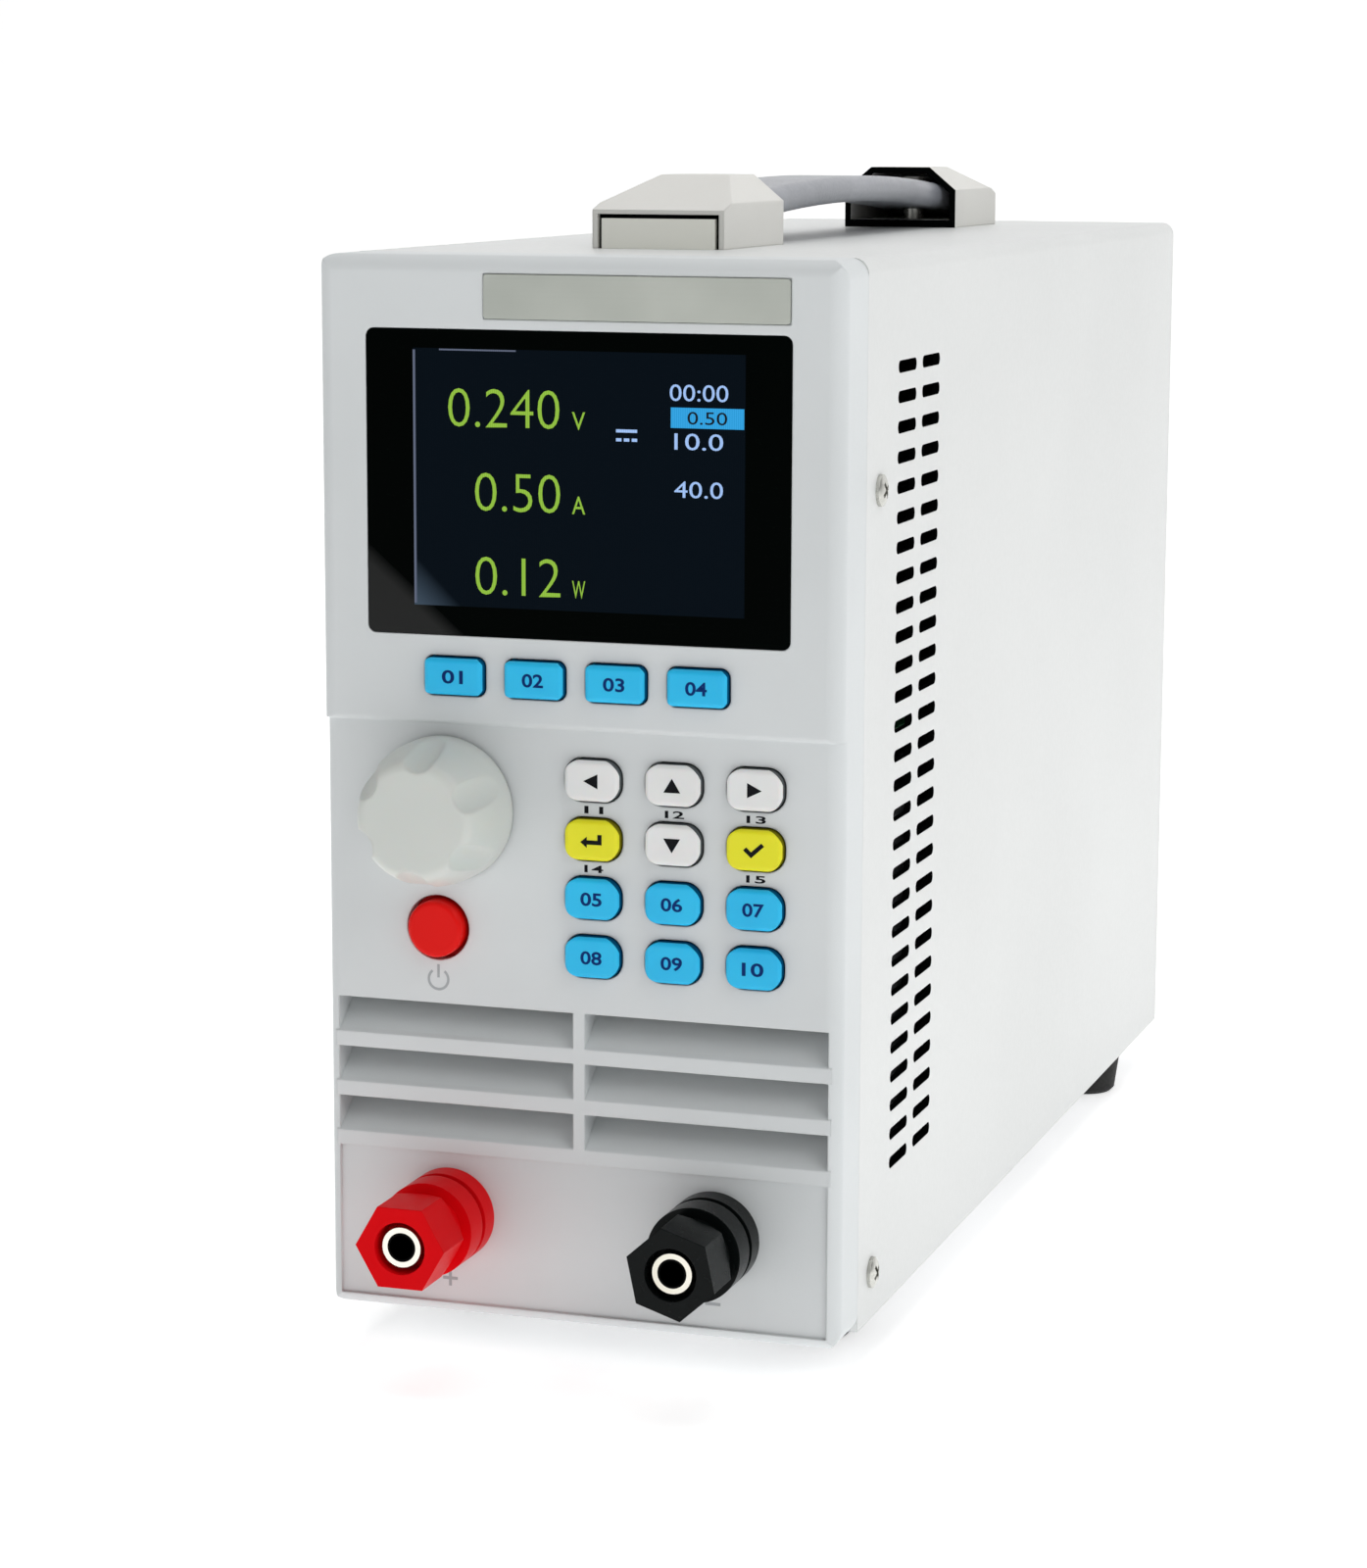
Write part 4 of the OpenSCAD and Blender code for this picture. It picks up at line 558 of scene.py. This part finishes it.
# A painted reflection: a pale glow in the panel's lower left corner
panelLight = screenLight("screen_panel_light", paint(2, 9, 16), paint(3, 13, 20), {
    "corner": windowCorner, "across": 16.0 * mm, "up": 16.0 * mm, "soft": 0.3, "colour": paint(70, 86, 102),
})
readingLight = screenLight("reading_light", paint(134, 180, 58), paint(152, 196, 72))
sideLight = screenLight("side_light", paint(150, 184, 236), paint(170, 202, 250))
barLight = screenLight("bar_light", paint(40, 150, 214), paint(58, 170, 230))
edgeLight = screenLight("edge_light", paint(84, 92, 112), paint(104, 112, 132))


def buildScreen(look):
    glass = frontOf("display_window")
    film = look["film"]
    wide = look["right"] - look["left"]
    high = look["top"] - look["bottom"]
    midX = (look["left"] + look["right"]) / 2
    midZ = (look["top"] + look["bottom"]) / 2
    line, topLine, topStart, topWide = look["edges"]
    edges = [bar(look["left"] + line / 2, midZ, line, high - 1.5 * line),
             bar(look["left"] + topStart, look["top"] - line / 2, topWide, topLine)]
    panel = printMesh("screen_panel", [bar(midX, midZ, wide, high)], glass, film)
    addPiece("screen_panel", panel, panelLight, "root")
    onPanel = glass - Vector((0, film, 0))
    addPiece("screen_edge", printMesh("screen_edge", edges, onPanel, film), edgeLight, "root")
    readings = []
    for (words, width, x, z), unit in zip(look["readings"], look["units"]):
        at = onPanel + Vector((x * mm, 0, z * mm))
        size = (width, look["readingHeight"])
        readings.append(figureMesh("reading", words, *size, at, film, look["readingWeight"]))
        drop = z - look["readingHeight"] / 2 + look["unitSize"][1] / 2
        at = onPanel + Vector((look["unitX"] * mm, 0, drop * mm))
        readings.append(figureMesh("unit", unit, *look["unitSize"], at, film))
    addPiece("screen_readings", joinMeshes("screen_readings", readings), readingLight, "root")
    lines = []
    for words, width, z in look["side"]:
        at = onPanel + Vector((look["sideX"] * mm, 0, z * mm))
        lines.append(figureMesh("side", words, width, look["sideHeight"], at, film))
    x, z = look["sign"]
    wideSign, line, apart = look["signWide"], look["signLine"], look["signApart"]
    dash = wideSign - 2 * apart
    dashes = [bar(x + step * apart, z - line * 1.4, dash, line) for step in (-1, 0, 1)]
    lines.append(printMesh("sign", [bar(x, z + line * 1.4, wideSign, line), *dashes], onPanel, film))
    addPiece("screen_side_lines", joinMeshes("screen_side_lines", lines), sideLight, "root")
    addPiece("screen_bar", printMesh("screen_bar", [bar(*look["bar"])], onPanel, film), barLight, "root")
    words, width, height = look["barFigures"]
    at = onPanel + Vector((look["bar"][0] * mm, -film, look["bar"][1] * mm))
    figures = figureMesh("screen_bar_figures", words, width, height, at, film)
    addPiece("screen_bar_figures", figures, legendInk, "root")


buildScreen(screen)
print("screen lit")


# Legends on the keys: plain numbers, arrows and marks
legends = {
    "film": 0.03 * mm, "figureSize": (3.6, 2.2), "weight": 0.02, "numbered": blueKeys,
    "marks": {
        "key_left": [(-1.3, 0), (1.1, -1.2), (1.1, 1.2)],
        "key_right": [(1.3, 0), (-1.1, 1.2), (-1.1, -1.2)],
        "key_up": [(0, 1.2), (-1.4, -1.1), (1.4, -1.1)],
        "key_down": [(0, -1.2), (1.4, 1.1), (-1.4, 1.1)],
        "key_back": [(-1.8, -0.3), (-0.7, 0.6), (-0.7, 0.05), (1.1, 0.05), (1.1, 1.0), (1.8, 1.0),
                     (1.8, -0.65), (-0.7, -0.65), (-0.7, -1.2)],
        "key_enter": [(-1.7, 0.0), (-1.2, 0.5), (-0.4, -0.25), (1.3, 1.25), (1.75, 0.75), (-0.4, -1.2)],
    },
}


def buildLegends(look):
    for number, node in enumerate(look["numbered"], start=1):
        size = look["figureSize"]
        words = f"{number:02d}"
        mesh = figureMesh("legend_" + node, words, *size, frontOf(node), look["film"], look["weight"])
        addPiece("legend_" + node, mesh, navyInk, node)
    for node, outline in look["marks"].items():
        mesh = printMesh("legend_" + node, [outline], frontOf(node), look["film"])
        addPiece("legend_" + node, mesh, legendInk, node)


buildLegends(legends)
print("legends on the keys")


# Print on the moulded front: small numbers over some keys, the power mark and the two signs
facePrint = {
    "film": 0.03 * mm, "faceY": 1.2 * mm, "smallSize": (3.2, 1.2), "weight": 0.02,
    "above": {"11": "key_back", "12": "key_down", "13": "key_enter", "14": "key_fn_1", "15": "key_fn_3"},
    "aboveRise": 4.75,
    "powerDrop": 8.6, "powerR": 1.7, "powerLine": 0.42, "powerGap": 38, "arcSteps": 28,
    "strokeRise": 1.36, "strokeLong": 2.21,
    "signDrop": 11.0, "signSize": 2.6, "signLine": 0.5, "recess": 0.6 * mm,
}


def arcBand(radius, line, start, end, steps):
    outer = []
    inner = []
    for step in range(steps + 1):
        angle = math.radians(start + (end - start) * step / steps)
        outer.append(((radius + line / 2) * math.cos(angle), (radius + line / 2) * math.sin(angle)))
        inner.append(((radius - line / 2) * math.cos(angle), (radius - line / 2) * math.sin(angle)))
    return outer + inner[::-1]


def buildFacePrint(look):
    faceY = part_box("front_bezel")[0].y + look["faceY"]
    small = []
    for words, node in look["above"].items():
        at = middle(node) + Vector((0, 0, look["aboveRise"] * mm))
        at.y = faceY
        small.append(figureMesh("small", words, *look["smallSize"], at, look["film"], look["weight"]))
    addPiece("face_numbers", joinMeshes("face_numbers", small), legendInk, "root")
    at = middle("power_button") - Vector((0, 0, look["powerDrop"] * mm))
    at.y = faceY
    radius, line, gap = look["powerR"], look["powerLine"], look["powerGap"]
    ring = arcBand(radius, line, 90 + gap, 450 - gap, look["arcSteps"])
    stroke = bar(0, look["strokeRise"], line, look["strokeLong"])
    addPiece("power_mark", printMesh("power_mark", [ring, stroke], at, look["film"]), paleInk, "root")
    signs = []
    line = look["signLine"]
    arm = (look["signSize"] - line) / 2
    for node in ("post_base_red", "post_base_black"):
        at = middle(node) - Vector((0, 0, look["signDrop"] * mm))
        at.y = faceY + look["recess"]
        outlines = [bar(0, 0, look["signSize"], line)]
        if node == "post_base_red":
            outlines += [bar(0, side * (line + arm) / 2, line, arm) for side in (1, -1)]
        signs.append(printMesh("sign", outlines, at, look["film"]))
    addPiece("terminal_signs", joinMeshes("terminal_signs", signs), paleInk, "root")


buildFacePrint(facePrint)
print("print on the front")


# Geometry Nodes trees: named inputs on the way in, one geometry on the way out
def newTree(name, inputs):
    tree = bpy.data.node_groups.new(name, "GeometryNodeTree")
    tree.interface.new_socket("Geometry", in_out="INPUT", socket_type="NodeSocketGeometry")
    for label, kind in inputs.items():
        tree.interface.new_socket(label, in_out="INPUT", socket_type=kind)
    tree.interface.new_socket("Geometry", in_out="OUTPUT", socket_type="NodeSocketGeometry")
    return tree, addNode(tree, "NodeGroupInput").outputs, addNode(tree, "NodeGroupOutput")


# Runs a tree on a point cloud's mesh and returns the plain mesh that it makes
def runTree(tree, mesh, values):
    holder = bpy.data.objects.new("holder", mesh)
    bpy.context.scene.collection.objects.link(holder)
    modifier = holder.modifiers.new("build", "NODES")
    modifier.node_group = tree
    for item in tree.interface.items_tree:
        if item.in_out == "INPUT" and item.name in values:
            modifier[item.identifier] = values[item.name]
    bpy.context.view_layer.update()
    ready = holder.evaluated_get(bpy.context.evaluated_depsgraph_get())
    made = bpy.data.meshes.new_from_object(ready)
    holder.modifiers.clear()
    bpy.data.objects.remove(holder)
    return made


# Sets an instance on each point, makes it real and gives it the material
def layOnPoints(tree, given, out, instance, rotation=None):
    points = addNode(tree, "GeometryNodeMeshToPoints", {"Mesh": given["Geometry"]})
    each = {"Points": points.outputs["Points"], "Instance": instance}
    if rotation is not None:
        each["Rotation"] = rotation
    laid = addNode(tree, "GeometryNodeInstanceOnPoints", each)
    real = addNode(tree, "GeometryNodeRealizeInstances", {"Geometry": laid.outputs["Instances"]})
    painted = {"Geometry": real.outputs["Geometry"], "Material": given["Material"]}
    done = addNode(tree, "GeometryNodeSetMaterial", painted)
    tree.links.new(done.outputs["Geometry"], out.inputs["Geometry"])


# Cross-recess screws in the case: a domed head, its recess and its shank, one at each hole
crossScrews = {
    "Head Radius": 2.6 * mm, "Head Height": 1.2 * mm, "Shank Radius": 1.4 * mm, "Shank Length": 6.0 * mm,
    "Recess Width": 0.75 * mm, "Recess Length": 3.0 * mm, "Recess Depth": 0.8 * mm, "Seed": 7,
}


def crossScrewTree():
    kinds = {label: "NodeSocketFloat" for label in crossScrews}
    kinds["Seed"] = "NodeSocketInt"
    kinds["Material"] = "NodeSocketMaterial"
    tree, given, out = newTree("cross_screws", kinds)

    def vector(x, y, z):
        return addNode(tree, "ShaderNodeCombineXYZ", {"X": x, "Y": y, "Z": z}).outputs[0]

    def shifted(geometry, offset, scale=(1, 1, 1)):
        inputs = {"Geometry": geometry, "Translation": offset, "Scale": scale}
        return addNode(tree, "GeometryNodeTransform", inputs).outputs["Geometry"]

    def boolean(kind, first, second):
        node = addNode(tree, "GeometryNodeMeshBoolean", operation=kind, solver="EXACT")
        if kind == "DIFFERENCE":
            tree.links.new(first, node.inputs["Mesh 1"])
        else:
            tree.links.new(first, node.inputs["Mesh 2"])
        tree.links.new(second, node.inputs["Mesh 2"])
        return node.outputs["Mesh"]

    headSides, shankSides = 40, 24
    domeShare = 1.12
    domeR = calc(tree, "MULTIPLY", given["Head Radius"], domeShare)
    rounds = {"Segments": headSides, "Rings": headSides // 2, "Radius": domeR}
    ball = addNode(tree, "GeometryNodeMeshUVSphere", rounds)
    squeeze = calc(tree, "DIVIDE", given["Head Height"], domeR)
    dome = shifted(ball.outputs["Mesh"], (0, 0, 0), vector(1.0, 1.0, squeeze))
    sizes = {"Vertices": headSides, "Radius": given["Head Radius"], "Depth": given["Head Height"]}
    drum = addNode(tree, "GeometryNodeMeshCylinder", sizes)
    rise = calc(tree, "MULTIPLY", given["Head Height"], 0.5)
    head = boolean("INTERSECT", dome, shifted(drum.outputs["Mesh"], vector(0.0, 0.0, rise)))
    sizes = {"Vertices": shankSides, "Radius": given["Shank Radius"], "Depth": given["Shank Length"]}
    rod = addNode(tree, "GeometryNodeMeshCylinder", sizes)
    shankBelow = 0.48
    sink = calc(tree, "MULTIPLY", given["Shank Length"], -shankBelow)
    blank = boolean("UNION", head, shifted(rod.outputs["Mesh"], vector(0.0, 0.0, sink)))
    tall = calc(tree, "MULTIPLY", given["Recess Depth"], 2.0)
    slots = []
    for size in (vector(given["Recess Length"], given["Recess Width"], tall),
                 vector(given["Recess Width"], given["Recess Length"], tall)):
        cube = addNode(tree, "GeometryNodeMeshCube", {"Size": size})
        slots.append(shifted(cube.outputs["Mesh"], vector(0.0, 0.0, given["Head Height"])))
    screw = boolean("DIFFERENCE", blank, boolean("UNION", *slots))
    outward = addNode(tree, "GeometryNodeInputNamedAttribute", {"Name": "outward"}, data_type="FLOAT_VECTOR")
    facing = addNode(tree, "FunctionNodeAlignRotationToVector", {"Vector": outward.outputs[0]}, axis="Z")
    chance = addNode(tree, "FunctionNodeRandomValue", {"Seed": given["Seed"]}, data_type="FLOAT")
    chance.inputs[3].default_value = math.pi
    spin = addNode(tree, "FunctionNodeAxisAngleToRotation", {"Axis": (0, 0, 1), "Angle": chance.outputs[1]})
    turn = {"Rotation": facing.outputs["Rotation"], "Rotate By": spin.outputs["Rotation"]}
    turned = addNode(tree, "FunctionNodeRotateRotation", turn, rotation_space="LOCAL")
    layOnPoints(tree, given, out, screw, turned.outputs["Rotation"])
    return tree


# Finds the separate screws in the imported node, so that each new one stands where its solid is
def looseParts(node):
    work = bmesh.new()
    work.from_mesh(cadNodes[node].data)
    bmesh.ops.remove_doubles(work, verts=work.verts[:], dist=1e-6)
    left = set(work.verts)
    groups = []
    while left:
        group = []
        edge = [left.pop()]
        while edge:
            vert = edge.pop()
            group.append(vert.co.copy())
            for link in vert.link_edges:
                other = link.other_vert(vert)
                if other in left:
                    left.remove(other)
                    edge.append(other)
        groups.append(group)
    work.free()
    return groups


def buildCrossScrews(look):
    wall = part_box("rear_panel")[1].y
    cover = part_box("top_cover")[1].x
    seats = []
    for group in looseParts("case_screws"):
        low = Vector(min(p[i] for p in group) for i in range(3))
        high = Vector(max(p[i] for p in group) for i in range(3))
        at = (low + high) / 2
        if high.y > wall:
            seats.append((Vector((at.x, wall, at.z)), Vector((0, 1, 0))))
        else:
            side = 1 if at.x > 0 else -1
            seats.append((Vector((side * cover, at.y, at.z)), Vector((side, 0, 0))))
    seats.sort(key=lambda seat: tuple(seat[0]))
    mesh = bpy.data.meshes.new("screw_seats")
    mesh.from_pydata([tuple(seat) for seat, _ in seats], [], [])
    outward = mesh.attributes.new("outward", "FLOAT_VECTOR", "POINT")
    for item, (_, direction) in zip(outward.data, seats):
        item.vector = direction
    made = runTree(crossScrewTree(), mesh, {**look, "Material": screwSteel})
    made.name = "case_screws_cross"
    piece = addPiece("case_screws_cross", made, screwSteel, "root")
    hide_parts("case_screws")
    print("cross-recess screws:", len(seats))


buildCrossScrews(crossScrews)


# Mains inlet: metal blades over its three moulded pins
inletBlades = {
    "places": [(-7.0, 6.0), (7.0, 6.0), (0.0, 10.0)], "width": 2.0 * mm, "height": 4.0 * mm,
    "reach": 17.0 * mm, "inset": 2.0 * mm, "skin": 0.04 * mm,
}


def buildInletBlades(look):
    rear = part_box("mains_inlet")[1].y
    centre = middle("mains_inlet")
    skin = look["skin"]
    work = bmesh.new()
    for x, z in look["places"]:
        length = look["reach"] - look["inset"] + skin
        size = (look["width"] + 2 * skin, length, look["height"] + 2 * skin)
        at = Vector((centre.x + x * mm, rear - look["reach"] + length / 2, centre.z + z * mm))
        bmesh.ops.create_cube(work, size=1.0, matrix=Matrix.Translation(at) @ Matrix.Diagonal((*size, 1)))
    mesh = bpy.data.meshes.new("mains_inlet_blades")
    work.to_mesh(mesh)
    work.free()
    addPiece("mains_inlet_blades", mesh, brassMetal, "root")


# Data port: an insulating face inside the metal shell, with nine contacts in two rows, each with a black disc
# of painted shade for its hole
portFace = {
    "wide": 15.2, "narrow": 13.6, "tall": 6.6, "film": 0.04 * mm,
    "rows": [(5, 1.42), (4, -1.42)], "pitch": 2.77,
    "contact": {"Radius": 0.72 * mm, "Depth": 0.1 * mm, "Sides": 20},
    "holeShade": {"Radius": 0.42 * mm, "Depth": 0.14 * mm, "Sides": 20},
}


def discTree():
    kinds = {"Radius": "NodeSocketFloat", "Depth": "NodeSocketFloat", "Sides": "NodeSocketInt"}
    tree, given, out = newTree("discs", {**kinds, "Material": "NodeSocketMaterial"})
    sizes = {"Vertices": given["Sides"], "Radius": given["Radius"], "Depth": given["Depth"]}
    disc = addNode(tree, "GeometryNodeMeshCylinder", sizes)
    stand = {"Geometry": disc.outputs["Mesh"], "Rotation": (math.pi / 2, 0, 0)}
    stood = addNode(tree, "GeometryNodeTransform", stand)
    layOnPoints(tree, given, out, stood.outputs["Geometry"])
    return tree


def buildPortFace(look):
    at = middle("data_port")
    at.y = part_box("data_port")[1].y
    wide, narrow, tall = look["wide"] / 2, look["narrow"] / 2, look["tall"] / 2
    outline = [(-narrow, -tall), (narrow, -tall), (wide, tall), (-wide, tall)]
    face = printMesh("data_port_face", [outline], at, -look["film"])
    addPiece("data_port_face", face, blackPlastic, "root")
    places = []
    for count, z in look["rows"]:
        for i in range(count):
            places.append(at + Vector(((i - (count - 1) / 2) * look["pitch"] * mm, 0, z * mm)))
    tree = discTree()
    # The black discs are painted shade in place of the contacts' holes
    for name, material in (("contact", brassMetal), ("holeShade", footRubber)):
        mesh = bpy.data.meshes.new("contact_places")
        mesh.from_pydata([tuple(place) for place in places], [], [])
        made = runTree(tree, mesh, {**look[name], "Material": material})
        made.name = "data_port_" + name
        addPiece("data_port_" + name, made, material, "root")


buildInletBlades(inletBlades)
buildPortFace(portFace)
print("rear connectors faced")


# Studio: pale floor running up into a backdrop, soft lights and the camera
studio = {
    "floorWidth": 9.0, "floorFront": -4.0, "floorBack": 2.2,
    "backdropRise": 3.2, "bend": 0.8, "bendSteps": 16, "light": 0.24, "aim": (0, 0, 0.1),
}
floorPale = mouldedPlastic("floor_pale", {
    "dark": paint(246, 246, 246), "light": paint(250, 250, 250), "roughness": (0.7, 0.9),
    "grainScale": 60.0, "grainDepth": 0.01 * mm, "edge": 0.1 * mm, "driftScale": 2.0,
    "sockets": {"Emission Color": (1.0, 1.0, 1.0, 1.0), "Emission Strength": 0.53},
})


def buildFloor(look):
    bend = look["bend"]
    profile = [(look["floorFront"], 0.0)]
    for step in range(look["bendSteps"] + 1):
        angle = math.pi / 2 * step / look["bendSteps"]
        profile.append((look["floorBack"] + bend * math.sin(angle), bend * (1 - math.cos(angle))))
    profile.append((look["floorBack"] + bend, look["backdropRise"]))
    half = look["floorWidth"] / 2
    points = [(x, y, z) for y, z in profile for x in (-half, half)]
    faces = [(2 * i, 2 * i + 1, 2 * i + 3, 2 * i + 2) for i in range(len(profile) - 1)]
    mesh = bpy.data.meshes.new("floor")
    mesh.from_pydata(points, [], faces)
    mesh.materials.append(floorPale)
    for face in mesh.polygons:
        face.use_smooth = True
    floor = bpy.data.objects.new("floor", mesh)
    bpy.context.scene.collection.objects.link(floor)


softLights = {
    "key_right": {"at": (1.5, -0.9, 1.5), "size": 1.4, "power": 11.5},
    "fill_left": {"at": (-1.3, -1.6, 0.9), "size": 1.6, "power": 1.5},
    "top": {"at": (0.0, 0.2, 1.9), "size": 1.6, "power": 14.0},
}


def buildLights(lights):
    aim = Vector(studio["aim"])
    for name, look in lights.items():
        lamp = bpy.data.lights.new(name, "AREA")
        lamp.shape = "DISK"
        lamp.size = look["size"]
        lamp.energy = look["power"]
        holder = bpy.data.objects.new(name, lamp)
        holder.location = look["at"]
        holder.rotation_euler = (aim - Vector(look["at"])).to_track_quat("-Z", "Y").to_euler()
        bpy.context.scene.collection.objects.link(holder)
    world = bpy.data.worlds.new("studio")
    world.use_nodes = True
    background = world.node_tree.nodes["Background"].inputs
    background["Color"].default_value = (1.0, 1.0, 1.0, 1.0)
    background["Strength"].default_value = studio["light"]
    bpy.context.scene.world = world


shot = {
    "at": (0.2104, -0.7078, 0.2028), "yaw": 18.14, "pitch": 9.5, "roll": 0.2, "lens": 90.8, "sensor": 36.0,
}


def buildCamera(look):
    yaw = math.radians(look["yaw"])
    pitch = math.radians(look["pitch"])
    forward = Vector((-math.sin(yaw) * math.cos(pitch), math.cos(yaw) * math.cos(pitch), -math.sin(pitch)))
    right = Vector((math.cos(yaw), math.sin(yaw), 0))
    up = right.cross(forward)
    turn = Matrix((right, up, -forward)).transposed().to_4x4()
    lens = bpy.data.cameras.new("camera")
    lens.lens = look["lens"]
    lens.sensor_width = look["sensor"]
    camera = bpy.data.objects.new("camera", lens)
    roll = Matrix.Rotation(math.radians(look["roll"]), 4, "Z")
    camera.matrix_world = Matrix.Translation(look["at"]) @ turn @ roll
    bpy.context.scene.collection.objects.link(camera)
    bpy.context.scene.camera = camera


buildFloor(studio)
buildLights(softLights)
buildCamera(shot)
bpy.context.scene.view_settings.view_transform = "Standard"
print("studio ready")
